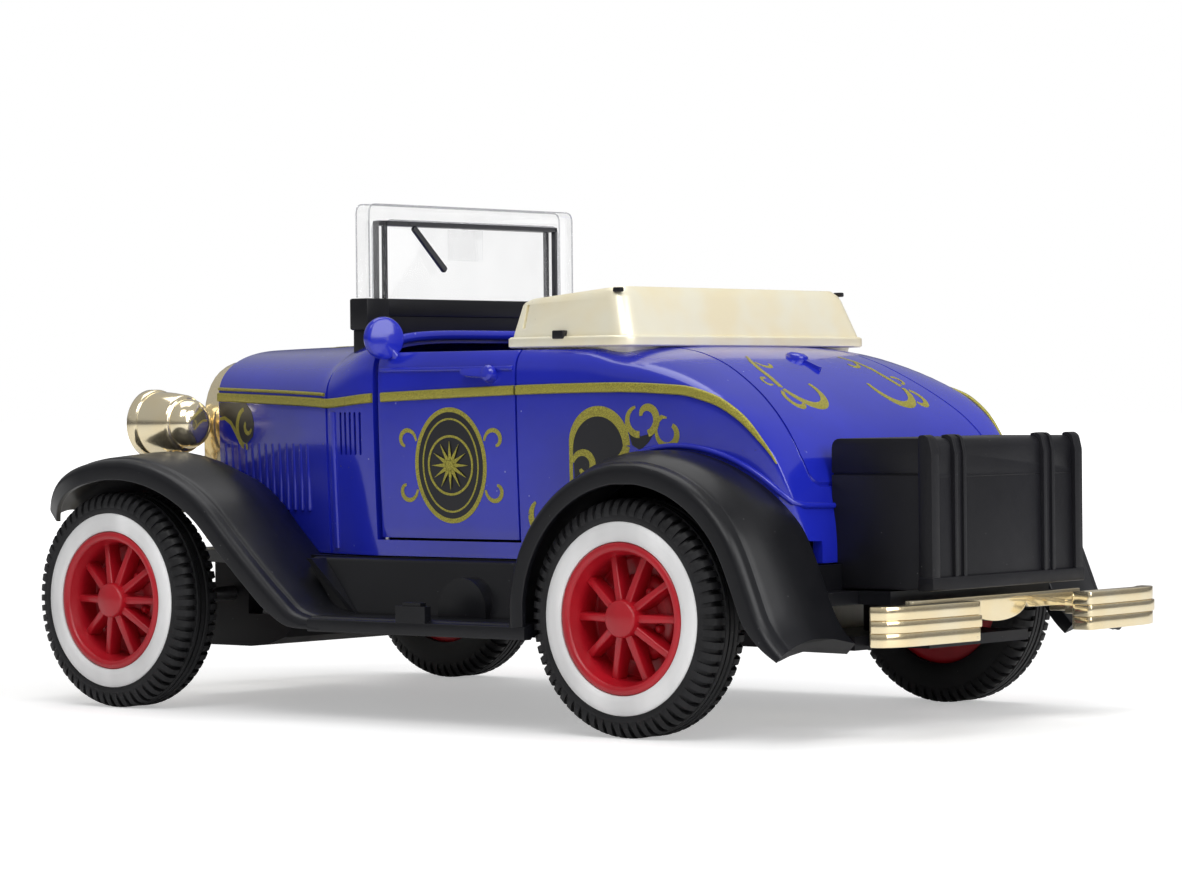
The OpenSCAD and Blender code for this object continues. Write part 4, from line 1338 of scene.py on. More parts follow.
    def belt(self) -> None:
        """The belt mouldings of the bonnet, scuttle and tail."""
        rear = np.linspace(self.door_rear - 0.35, -54.9, 64)
        fade = Line(((-54.9, 0.15), (-51, 0.75), (-45, 1.0), (-18, 1.0)))
        shape = self.belt_band(rear, fade.at(rear))
        shape.join(self.belt_band(np.linspace(self.door_front + 0.95, 42.5, 56)))
        shape.join(self.belt_band(np.linspace(14.9, 42.4, 40), 1.0, 1.05, 0.4))
        piece("belt_line", shape.both(), self.shop.paint.line, Body.CAR, "paint", crease=40)

    def scrolls(self) -> None:
        """The painted scrollwork of the sides and deck."""
        gold, ink = Shape(), Shape()
        form = self.form

        def draw(path: Sequence[Point], *width: float, on_deck: bool = False) -> None:
            """Adds a stroke of the gold."""
            gold.join(stroke(form, path, *width, on_deck=on_deck))

        # Rear quarter: one tall arch that ends in curls, filled with black
        draw(curl(-30.7, 32.4, 4.1, 4.1, 0, 178, 40), 0.6, 1.2, 1.0)
        draw(curl(-32.1, 32.4, 2.7, 1.5, -182, -95), 1.0, 0.9, 0.3)
        draw([(-26.6, 32.6), (-26.5, 29.6), (-26.5, 26.6), (-26.7, 24.0)], 0.6, 0.5, 0.5)
        draw(curl(-28.5, 30.2, 1.8, 0.7, 15, 330), 0.5, 0.9, 0.4)
        edge = curl(-30.7, 32.4, 3.8, 3.8, 0, 178, 24)
        ink.join(patch(form, [*edge, (-33.6, 30.6), (-31.6, 28.4), (-29.6, 26.6), (-27.0, 24.6)]))
        draw(curl(-36.6, 35.4, 1.6, 1.6, 75, -95), 0.3, 0.7, 0.8)
        draw(curl(-37.7, 35.8, 1.9, 0.7, -98, -350), 0.8, 0.9, 0.4)
        draw(curl(-40.9, 34.0, 1.8, 1.0, 15, -235), 0.3, 0.8, 0.5)
        draw([(-39.3, 35.2), (-40.0, 35.8), (-40.7, 35.7)], 0.5, 0.5, 0.2)
        ink.join(
            patch(
                form,
                [(-35.2, 33.9), (-36.8, 33.6), (-38.9, 34.0), (-38.0, 32.9), (-36.8, 32.0), (-35.6, 32.6)],
            )
        )
        # Foot of the quarter, before the fender
        draw(curl(-22.2, 24.5, 1.9, 2.2, 50, -95, 20), 0.3, 0.9, 0.4)
        draw(curl(-24.3, 24.4, 1.4, 0.6, 20, 300), 0.4, 0.9, 0.6)
        # Bonnet's front corner: an S that ends in a curl, filled with black above
        draw(curl(35.2, 34.7, 2.4, 2.5, 75, -95, 24)[::-1], 0.6, 0.8, 0.5)
        draw(curl(34.9, 34.9, 1.1, 0.6, 200, 400), 0.3, 0.6, 0.4)
        draw(
            [(35.2, 32.2), (36.6, 32.6), (38.0, 34.0), (39.4, 35.3), (41.0, 35.9), (42.4, 35.8)], 0.8, 0.6,
            0.4,
        )
        ink.join(
            patch(
                form,
                [
                    (42.4, 37.9), (42.4, 36.2), (40.6, 36.1), (38.6, 35.0), (36.6, 33.1), (35.2, 32.6),
                    (33.5, 33.6), (33.1, 35.2), (33.8, 36.8), (35.2, 37.8),
                ]
            )
        )
        both_gold, both_ink = gold.both(), ink.both()
        # Deck lid: a pair of S scrolls
        deck = Shape()
        for path, width in (
            ([(-39.9, 9.0), (-41.6, 10.3), (-43.4, 11.1), (-45.2, 11.4), (-47.0, 11.9)], (0.3, 0.7, 0.7)),
            (curl(-47.1, 8.6, 3.3, 2.8, 95, 282), (0.7, 1.0, 0.5)),
            (curl(-49.2, 12.0, 1.5, 0.9, 20, 230), (0.4, 0.7, 0.4)),
            (curl(-42.0, 8.4, 1.4, 0.6, 80, 250), (0.3, 0.5, 0.3)),
            (curl(-46.0, 12.9, 0.9, 0.5, -30, 200), (0.3, 0.4, 0.2)),
        ):
            deck.join(stroke(form, path, *width, on_deck=True))
        bonnet = Shape()
        bonnet.join(stroke(form, curl(29.5, 4.4, 1.5, 0.7, 90, 330), 0.3, 0.6, 0.3, on_deck=True))
        bonnet.join(
            stroke(form, [(29.4, 5.9), (27.0, 5.6), (25.0, 4.3), (22.4, 3.7)], 0.3, 0.6, 0.3, on_deck=True)
        )
        both_gold.join(deck.both()).join(bonnet.both())
        piece("scroll_lines", both_gold, self.shop.paint.line, Body.CAR, "paint", crease=50)
        piece("scroll_fill", both_ink, self.shop.paint.ink, Body.CAR, "paint", crease=50)

    def emblem(self, side: Side) -> None:
        """A plain badge on the door: an oval with a border and a wheel of rays."""
        x, z = self.badge
        turn = np.radians(np.linspace(0, 360, 73))

        def oval(rx: float, rz: float) -> list[tuple[float, float]]:
            """Points of an upright oval."""
            return [(x + rx * math.cos(a), z + rz * math.sin(a)) for a in turn]

        gold = stroke(self.form, oval(5.4, 6.6), 0.55, 0.55, 0.55)
        gold.join(stroke(self.form, oval(4.35, 5.5), 0.22, 0.22, 0.22, lift=0.06))
        ray = Shape().slab([(0.55, 0.28), (2.9, 0), (0.55, -0.28)], -0.03, 0.03, Matrix())
        lean = float(self.form.side(x, z + 3) - self.form.side(x, z - 3)) / 6
        at = facing((x, float(self.form.side(x, z)) + 0.16, z), (0, 1, -lean))
        gold.join(self.shop.repeat.run(ray, 12, at, turn=(0, 0, math.tau / 12)))
        gold.turned([(0.0, 0.05), (0.55, 0.05), (0.55, -0.05)], 24, at)
        gold.join(stroke(self.form, oval(3.45, 3.45), 0.28, 0.28, 0.28, lift=0.09))
        for s in (-1, 1):
            start = 90 - s * 90 + 180
            for up in (1, -1):
                path = curl(x + s * 7.0, z + up * 2.9, 1.6, 0.6, start, start - up * s * 250)
                gold.join(stroke(self.form, path, 0.3, 0.55, 0.3))
        fill = patch(self.form, oval(5.2, 6.4)[:-1])
        for name, shape, paint in (
            ("badge", gold, self.shop.paint.line), ("badge_fill", fill, self.shop.paint.ink),
        ):
            piece(f"door_{name}_{side.word}", shape.on(side), paint, side.door, "paint", crease=50)

    def build(self) -> None:
        """Builds all of the coachwork."""
        self.body()
        self.belt()
        self.scrolls()
        for side in Side:
            self.door(side)
            self.emblem(side)
        for node in ("door_pin_left", "door_pin_right"):
            finish_node(node, self.shop.paint.steel)


def finish_node(node: str, material: bpy.types.Material) -> None:
    """Gives a CAD node that stays in view its material."""
    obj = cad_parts[node]
    obj.data.materials.clear()
    obj.data.materials.append(material)
    for face in obj.data.polygons:
        face.material_index = 0


# ---------------------------------------------------------------- running gear


@dataclass
class RunningGear:
    """Wheels, white walls and tyres, on their axles.

    Attributes:
        shop: Materials and trees.
        axle_x: Distance of each axle from the wheelbase's middle.
        tyre_r: Radius over the tread.
        tyre_w: Width of a tyre.
        track_out: Distance of a tyre's outer face from the middle.
        rim_r: Outer radius of the rim.
        wall_r: Outer radius of the white wall.
        lugs: Lugs round each shoulder.
        spokes: Spokes in a wheel.
    """

    shop: Shop
    axle_x: float = 41.0
    tyre_r: float = 13.4
    tyre_w: float = 6.4
    track_out: float = 34.1
    rim_r: float = 8.6
    wall_r: float = 10.84
    lugs: int = 62
    spokes: int = 10

    def place(self, front: bool, side: Side) -> Matrix:
        """The local frame of a wheel: its axis is Z, with its outer face at 0."""
        x = self.axle_x if front else -self.axle_x
        return facing((x, self.track_out * side.value, self.tyre_r), (0, side.value, 0))

    def tyre(self, place: Matrix) -> Shape:
        """A tyre with shoulder lugs and tread ribs."""
        w, r = self.tyre_w, self.tyre_r
        half = [
            (self.wall_r + 0.02, -1.45), (self.wall_r + 0.02, -0.12), (self.wall_r + 0.2, 0.0),
            (r - 1.9, -0.02),
            (r - 1.55, -0.12), (r - 0.95, -0.5), (r - 0.62, -1.0), (r - 0.55, -1.9), (r - 0.55, -2.05),
            (r - 0.1, -2.1),
            (r - 0.02, -2.16), (r - 0.02, -2.6), (r - 0.1, -2.66), (r - 0.5, -2.7), (r - 0.5, -2.88),
            (r - 0.08, -2.92),
        ]
        far = [(q, -w - h) for q, h in reversed(half[2:])]
        profile = [
            (self.rim_r + 0.02, 0.4 - w), (self.rim_r + 0.02, -1.45), *half, *far, (self.rim_r + 0.7, -w),
        ]
        shape = Shape().turned(profile, 124, place, ring=True)
        outline = rounded(
            [
                (r - 2.0, -0.35), (r - 1.95, 0.0), (r - 1.2, -0.02), (r - 0.3, -0.55), (r, -1.2), (r, -2.0),
                (r - 1.0, -2.0), (r - 1.3, -0.9),
            ],
            0.22, 2,
        )
        lug = Shape().slab(outline, -0.37, 0.37, facing((0, 0, 0), (0, -1, 0)))
        turn = (0, 0, math.tau / self.lugs)
        shape.join(self.shop.repeat.run(lug, self.lugs, place, turn=turn))
        inner = Shape().join(lug, Matrix(((1, 0, 0, 0), (0, 1, 0, 0), (0, 0, -1, -w), (0, 0, 0, 1))))
        half_turn = Matrix.Rotation(math.pi / self.lugs, 4, "Z")
        return shape.join(self.shop.repeat.run(inner, self.lugs, place @ half_turn, turn=turn))

    def wheel(self, place: Matrix) -> Shape:
        """A deep rim with a closed back, a drum, a hub, spokes and bolts."""
        r = self.rim_r
        rim = [
            (0.0, -5.6), (r - 0.8, -5.6), (r - 0.2, -5.5), (r, -5.3), (r, -0.35), (r - 0.1, -0.08),
            (r - 0.3, 0.05),
            (r - 0.75, 0.05), (r - 0.95, -0.05), (r - 1.12, -0.35), (r - 1.2, -0.9), (r - 1.42, -1.2),
            (r - 1.52, -2.6),
            (r - 1.6, -4.2), (r - 1.8, -4.4), (0.0, -4.4),
        ]
        shape = Shape().turned(rim, 96, place)
        shape.turned(
            [(0.0, -4.5), (5.0, -4.5), (5.0, -3.7), (4.85, -3.45), (4.3, -3.15), (4.1, -3.1), (0.0, -3.1)],
            64, place,
        )
        hub = [
            (0.0, -3.3), (3.2, -3.3), (3.0, -2.9), (2.4, -2.4), (2.2, -1.6), (2.15, -0.2), (2.05, 0.12),
            (1.85, 0.25), (0.0, 0.27),
        ]
        shape.turned(hub, 48, place)
        rings = []
        for q, wide, front, back in (
            (1.7, 0.56, -0.5, -3.0), (3.2, 0.56, -0.75, -3.1), (5.4, 0.5, -1.2, -3.2),
            (7.35, 0.56, -1.65, -3.4),
        ):
            section = rounded(
                [(-wide, back), (-wide * 0.8, front), (wide * 0.8, front), (wide, back)], 0.24, 3,
            )
            rings.append([(q, y, h) for y, h in section])
        spoke = Shape().loft(rings)
        shape.join(self.shop.repeat.run(spoke, self.spokes, place, turn=(0, 0, math.tau / self.spokes)))
        bolt = Shape().turned(
            [(0.0, 0.85), (0.3, 0.8), (0.46, 0.6), (0.5, 0.0)], 12, Matrix.Translation((3.65, 0, -3.15)),
        )
        return shape.join(
            self.shop.repeat.run(bolt, 5, place @ Matrix.Rotation(0.31, 4, "Z"), turn=(0, 0, math.tau / 5))
        )

    def wall(self, place: Matrix) -> Shape:
        """A white wall ring, slightly crowned."""
        low, high = self.rim_r + 0.01, self.wall_r
        profile = [
            (low, -1.4), (low, -0.1), (low + 0.15, 0.06), (low + 0.8, 0.13), (high - 0.8, 0.13),
            (high - 0.15, 0.04), (high, -0.12), (high, -1.4),
        ]
        return Shape().turned(profile, 124, place, ring=True)

    def build(self) -> None:
        """Builds the four wheels."""
        paint = self.shop.paint
        for front, body, end in ((True, Body.FRONT_WHEELS, "front"), (False, Body.REAR_WHEELS, "rear")):
            for side in Side:
                at, name = self.place(front, side), f"{end}_{side.word}"
                piece(f"tread_{name}", self.tyre(at), paint.rubber, body, "tyre", f"tyre_{name}", crease=38)
                piece(
                    f"spoked_{name}", self.wheel(at), paint.red, body, "red_plastic", f"wheel_{name}",
                    crease=38,
                )
                piece(
                    f"white_{name}", self.wall(at), paint.white, body, "white_plastic", f"whitewall_{name}",
                    crease=38,
                )
        finish_node("front_axle", paint.steel)
        finish_node("rear_axle", paint.steel)


# ---------------------------------------------------------------- fenders


@dataclass
class Fenders:
    """Fenders, running boards, splash aprons and floor: one moulding.

    Attributes:
        shop: Materials and trees.
        form: The body's surface, which the fenders meet.
        out: Half width over the fenders.
        board: Height of the running boards; not used.
        skin: Thickness of the fenders.
        front_hub: Middle of the front fender's curve, along the car and up.
        front_r: Radius of its crown.
        rear_hub: Middle of the rear fender's curve.
        rear_r: Radius of its crown.
    """

    shop: Shop
    form: BodyForm = field(default_factory=BodyForm)
    out: float = 34.6
    board: float = 12.4
    skin: float = 1.1
    front_hub: tuple[float, float] = (40, 5)
    front_r: float = 26.5
    rear_hub: tuple[float, float] = (-42, 13.4)
    rear_r: float = 18

    @staticmethod
    def crown(hub: tuple[float, float], r: float, angles: Iterable[int]) -> list[tuple[float, float, float]]:
        """Places on a crown's round part, each with its direction in degrees."""
        return [
            (hub[0] + r * math.cos(math.radians(a)), hub[1] + r * math.sin(math.radians(a)), a)
            for a in angles
        ]

    def ring(
        self,
        x: float,
        z: float,
        normal: float,
        y_in: float,
        y_out: float,
        lip: float,
        in_lip: float,
        dome: float = 0.0,
        tail: float = 0.0,
        fall: float = 0.0,
    ) -> list[tuple[float, float, float]]:
        """One ring of a fender.

        Args:
            x: The crown's place along the car.
            z: The crown's height.
            normal: The crown's direction, in degrees up from +X.
            y_in: Inner edge.
            y_out: Outer edge.
            lip: Depth of the outer lip.
            in_lip: Depth of the inner lip.
            dome: How far the middle rises.
            tail: How far the edges run on past the middle.
            fall: How far the inner edge drops below the crown.

        Returns:
            The ring's points.
        """
        mid, t = (y_in + y_out) / 2, self.skin
        outline = rounded([
            (y_in, -0.6 - in_lip, 0.1), (y_in, dome * 0.7, 0.3), (mid - 2.2, dome, 1.5),
            (mid + 1.2, dome * 0.85, 1.5),
            (y_out - 2.1, -0.28, 0.5), (y_out - 1.8, -0.5, 0.15), (y_out - 0.6, -0.62, 0.5),
            (y_out, -1.2, 0.4),
            (y_out, -1.5 - lip, 0.2), (y_out - 0.8, -1.5 - lip, 0.15), (y_out - 0.9, -1.95, 0.3),
            (mid, -t - 0.1, 1.5),
            (y_in + 0.9, -t - 0.3, 0.3), (y_in + 0.9, -0.6 - in_lip, 0.1),
        ], 0.3, 4)
        a = math.radians(normal)
        found = []
        for y, d in outline:
            u = (y - mid) / (y_out - mid)
            run = tail * min(1.0, u * u)
            drop = fall * max(0.0, (mid - y) / (mid - y_in)) ** 1.5
            found.append(
                (x + d * math.cos(a) - run * math.sin(a), y, z + d * math.sin(a) + run * math.cos(a) - drop)
            )
        return found

    def front(self) -> Shape:
        """The left front fender, from its tip to the running board."""
        keys = self.crown(self.front_hub, self.front_r, range(50, 133, 6))
        keys += [
            (19.4, 21.9, 132.6), (15.6, 18.5, 132), (11.8, 15.3, 129), (8.6, 13.1, 118), (4.6, 12.42, 92),
        ]
        place = np.linspace(0, len(keys) - 1, 84)
        lines = [Line(tuple((i, key[k]) for i, key in enumerate(keys))) for k in range(3)]
        rings = []
        for q in place:
            x, z, a = (float(line.at(q)) for line in lines)
            fall = 2.8 * min(1.0, max(0.0, (x - 14) / 9)) * min(1.0, max(0.0, (58 - x) / 12))
            y_in = float(
                self.form.side(min(x, 42.6), min(max(z - 1 - fall, 19.5), 30))
            ) - 0.1 + max(0.0, x - 42.6) * 0.75
            y_out = self.out - (max(0.0, x - 46) / 10) ** 2 * 3.8
            fade = min(1.0, max(0.0, (x - 6) / 6))
            skirt = 0.8 + 3.0 * min(1.0, max(0.0, (x - 20) / 8)) * min(1.0, max(0.0, (60 - x) / 6))
            rings.append(self.ring(x, z, a, y_in, y_out, 0.3 + 1.3 * fade, skirt, 0.35 * fade, fall=fall))
        return Shape().loft(rings)

    def rear(self) -> Shape:
        """The left rear fender, from the running board to the tail."""
        keys = self.crown(self.rear_hub, self.rear_r, range(-5, 158, 9))
        keys += [(-60.1, 16.8, 158), (-61.2, 14.2, 153), (-62.4, 12.4, 144), (-63.5, 11.3, 135)]
        inner = Line(((-66, 22), (-58, 22), (-54, 23.2), (-50, 24.2), (-44, 24.6), (-20, 24.6)))
        lines = [Line(tuple((i, key[k]) for i, key in enumerate(keys))) for k in range(3)]
        rings = []
        last = len(keys) - 1
        for q in np.linspace(0, last, 104):
            x, z, a = (float(line.at(q)) for line in lines)
            end = max(0.0, (q - last + 2.2) / 2.2)
            rise = min(1.0, max(0.0, (a - 15) / 50))
            rings.append(
                self.ring(
                    x, z, a, float(inner.at(x)), self.out, 1.5 - 1.2 * end, 0.8, 0.75 * rise - 0.3 * end,
                    1.1 * end ** 2,
                )
            )
        return Shape().loft(rings)

    def boards(self) -> Shape:
        """The left running board, its step plate and the splash apron."""
        section = rounded(
            [
                (24.6, 10.7), (24.6, 12.4), (33.6, 12.4), (34.0, 12.1), (34.6, 12.1), (34.6, 10.6),
                (33.4, 10.6), (33.2, 10.9),
            ],
            0.2, 3,
        )
        shape = Shape().slab(section, -27.4, 6.6, facing((0, 0, 0), (1, 0, 0), (0, 1, 0)))
        shape.block((-12.2, 33.5, 11.4), (-7.6, 34.55, 14.0)).block((-11.3, 33.3, 13.9), (-8.5, 34.3, 14.4))
        apron = rounded(
            [
                (23.6, 17.4), (24.3, 19.1), (25.4, 18.9), (27.6, 12.6), (27.6, 11.2), (26.4, 11.2),
                (24.4, 17.4),
            ],
            0.4, 3,
        )
        shape.slab(apron, -27.2, 14.3, facing((0, 0, 0), (1, 0, 0), (0, 1, 0)))
        bulge = [(-16.1, 12.0), *arc(-12.4, 13.4, 3.7, 180, 0, 24), (-8.7, 12.0)]
        shape.slab(rounded(bulge, 0.0), -28.3, -25.4, along_y())
        brace = [(4.6, 12.2), (5.4, 12.2), (13.0, 18.9), (12.2, 18.9)]
        return shape.slab(brace, -27.9, -25.2, along_y())

    def build(self) -> None:
        """Builds the moulding."""
        shape = self.front().join(self.rear()).join(self.boards()).both()
        shape.block((-65, -16, 14.7), (-56.6, 16, 16.2)).block((-60.6, -22.6, 14.7), (-56.6, 22.6, 16.2))
        shape.block((-57.8, -20, 14.7), (-56.6, 20, 19.1))
        floor = [
            (14.3, -24.2), (43.6, -16), (47.6, -14), (47.6, 14), (43.6, 16), (14.3, 24.2), (-25.6, 24.2),
            (-25.6, 20), (-56.6, 20), (-56.6, -20), (-25.6, -20), (-25.6, -24.2),
        ]
        room = Shape().block((-46.3, -8.3, 16), (-15.6, 8.3, 21))
        for x, y in ((24, -8), (24, 8), (-53, 0)):
            room.turned([(0.0, 16), (1.2, 16), (1.2, 21), (0.0, 21)], 24, Matrix.Translation((x, y, 0)))
        shape.join(carved(Shape().slab(floor, 17.55, 19.15, Matrix()), room))
        piece(
            "fenders", shape, self.shop.paint.satin, Body.CAR, "black_plastic", "fender_moulding", crease=36,
        )


# ---------------------------------------------------------------- upper works


@dataclass
class UpperWorks:
    """The soft top, the windscreen and its frame.

    Attributes:
        shop: Materials and trees.
        screen_x: Middle of the windscreen.
        screen_z: Its top.
        screen_half: Its half width.
        screen_t: Its thickness.
        glass_foot: Where the clear moulding starts.
        crown: Height of the soft top's crown; not used.
    """

    shop: Shop
    screen_x: float = 11.1
    screen_z: float = 62.1
    screen_half: float = 19.4
    screen_t: float = 2.2
    glass_foot: float = 50.5
    crown: float = 50.9

    def plan(self, front: float, rear: float, half: float, corner: float) -> list[tuple[float, float]]:
        """The soft top's outline from above."""
        points = [(front, -half, 0.3), (front, half, 0.3), (rear, half, corner), (rear, -half, corner)]
        return rounded(points, corner, 8)

    def soft_top(self) -> None:
        """The folded top: a slanted shell round the seat, on a flange."""
        rings = []
        for z, front, rear, half, fall in (
            (44.9, -16.3, -33.6, 23.3, 0.0), (45.6, -16.4, -33.4, 23.15, 0.0),
            (49.7, -16.9, -31.9, 22.1, 0.05),
            (50.3, -17.1, -31.6, 21.85, 0.07), (50.9, -17.8, -31.0, 21.2, 0.09),
        ):
            rings.append([(x, y, z - fall * (x - rear)) for x, y in self.plan(front, rear, half, 2.2)])
        room = Shape().loft(
            [
                [(x, y, z) for x, y in self.plan(0, rear, half, 2.5)]
                for z, rear, half in ((40, -27.4, 18.2), (56, -28.6, 19.0))
            ]
        )
        slot = Shape().block((-18.05, 21.5, 46.2), (-17.65, 26, 49.0))
        shape = carved(Shape().loft(rings), room, slot.both())
        flange = []
        for z, grow in ((42.7, -1.3), (43.9, -1.1), (43.95, -0.1), (44.1, 0.05), (45.0, 0.05), (45.2, -0.15)):
            flange.append([(x, y, z) for x, y in self.plan(-16.1 + grow, -33.9 - grow, 23.75 + grow, 2.6)])
        shape.join(carved(Shape().loft(flange), room))
        piece(
            "hood_shell", shape, self.shop.paint.champagne, Body.CAR, "gold", "soft_top", bevel=0.18,
            crease=28,
        )
        clips = Shape()
        clips.block(
            (-24.6, 23.0, 44.9), (-22.9, 23.95, 45.9),
        ).block((-31.6, 21.2, 50.2), (-30.4, 21.9, 50.75))
        piece("hood_clips", clips.both(), self.shop.paint.black, Body.CAR, "gold", bevel=0.15)

    def screen(self) -> None:
        """The clear windscreen with its thick surround, wiper and mirror."""
        x, h, z0, z1 = self.screen_x, self.screen_half, self.glass_foot, self.screen_z
        half = self.screen_t / 2
        outer = [(-h, z0, 0.05), (-h, z1, 1.2), (h, z1, 1.2), (h, z0, 0.05)]
        inner = [(3 - h, z0 - 1, 0.05), (3 - h, z1 - 2, 0.7), (h - 3, z1 - 2, 0.7), (h - 3, z0 - 1, 0.05)]
        across = facing((x, 0, 0), (1, 0, 0), (0, 1, 0))
        panes = Shape().slab(
            rounded(inner, 1, 5), -2, -0.35, across,
        ).slab(rounded(inner, 1, 5), 0.35, 2, across)
        shape = carved(Shape().slab(rounded(outer, 1, 5), -half, half, across), panes)
        piece(
            "screen_clear", shape, self.shop.paint.clear, Body.CAR, "clear", "windscreen", bevel=0.22,
            crease=40,
        )
        lining = Shape()
        lining.block((x - half + 0.05, 3 - h, z1 - 2.6), (x + half - 0.05, h - 3, z1 - 2.02))
        for s in (-1, 1):
            low, high = sorted((s * (h - 3.02), s * (h - 3.4)))
            lining.block((x - half + 0.05, low, z0), (x - 0.36, high, z1 - 2.05))
            lining.block((x + 0.36, low, z0), (x + half - 0.05, high, z1 - 2.05))
        piece("screen_lining", lining, self.shop.paint.grey, Body.CAR, "clear", bevel=0.05)
        edges = Shape()
        for depth in (-half, half):
            for points, inset in ((outer, 0.06), (inner, -0.06)):
                low, (right, top) = points[0], points[2][:2]
                corner = min(abs(right) - 0.5, 1.2)
                left, right, top, foot = low[0] + inset, right - inset, top - inset, z0 + 0.1
                path = rounded(
                    [(left, foot, 0), (left, top, corner), (right, top, corner), (right, foot, 0)], 1, 5,
                )
                line = [(x + depth * 0.97, y, z) for y, z in path]
                edges.join(self.shop.sweep.run(line, (1, 0, 0), 0.16, 0.16, 0.05))
        piece("screen_edges", edges, self.shop.paint.smoke, Body.CAR, "clear", crease=50)
        wiper = Shape()
        back = facing((x - 0.34, 0, 0), (-1, 0, 0), (0, 1, 0))
        wiper.turned(
            [(0.0, 0.75), (0.8, 0.72), (1.05, 0.45), (1.05, 0.0)], 28,
            facing((x - 0.34, 10.8, 59.4), (-1, 0, 0)),
        )
        way = np.array([4.9 - 10.8, 54.1 - 59.4])
        way = way / np.linalg.norm(way)
        side = np.array([-way[1], way[0]]) * 0.36
        start, stop = np.array([10.8, 59.4]), np.array([4.9, 54.1])
        bar = [tuple(start + side), tuple(stop + side * 1.15), tuple(stop - side * 1.15), tuple(start - side)]
        local = facing((0, 0, 0), (-1, 0, 0), (0, 1, 0)).to_3x3()
        flip = [tuple((local.transposed() @ Vector((0, y, z)))[:2]) for y, z in bar]
        wiper.slab(rounded(flip, 0.33, 4), 0.0, 0.5, back)
        piece("screen_wiper", wiper, self.shop.paint.grey, Body.CAR, "black_plastic", bevel=0.08)
        glass = Shape().block(
            (x - 0.6, -2.3, 55.4), (x - 0.37, 4.2, 59.3),
        ).block((x - 0.6, 0.4, 59.3), (x - 0.37, 1.4, 60.0))
        piece("screen_mirror", glass, self.shop.paint.clear, Body.CAR, "clear", bevel=0.08)

    def foot(self) -> None:
        """The black lower frame of the windscreen."""
        x, h, z0 = self.screen_x, self.screen_half, self.glass_foot
        shape = Shape().block((x - 1.2, 2 - h, 46.2), (x + 1.2, h - 2, z0 - 0.02))
        shape.block((x - 1.45, 2.5 - h, 48.3), (x + 1.45, h - 2.5, z0 - 0.02))
        leg = Shape().block((x - 1.5, h - 3.2, 46.6), (x + 1.5, h + 0.9, z0 - 0.02))
        leg.block((x - 1.3, h - 1.9, 43.2), (x + 1.3, h + 0.5, 47))
        shape.join(leg.both())
        piece(
            "screen_foot", shape, self.shop.paint.black, Body.CAR, "black_plastic", "windscreen_frame",
            bevel=0.25,
        )

    def build(self) -> None:
        """Builds the upper works."""
        self.soft_top()
        self.screen()
        self.foot()


# ---------------------------------------------------------------- trim


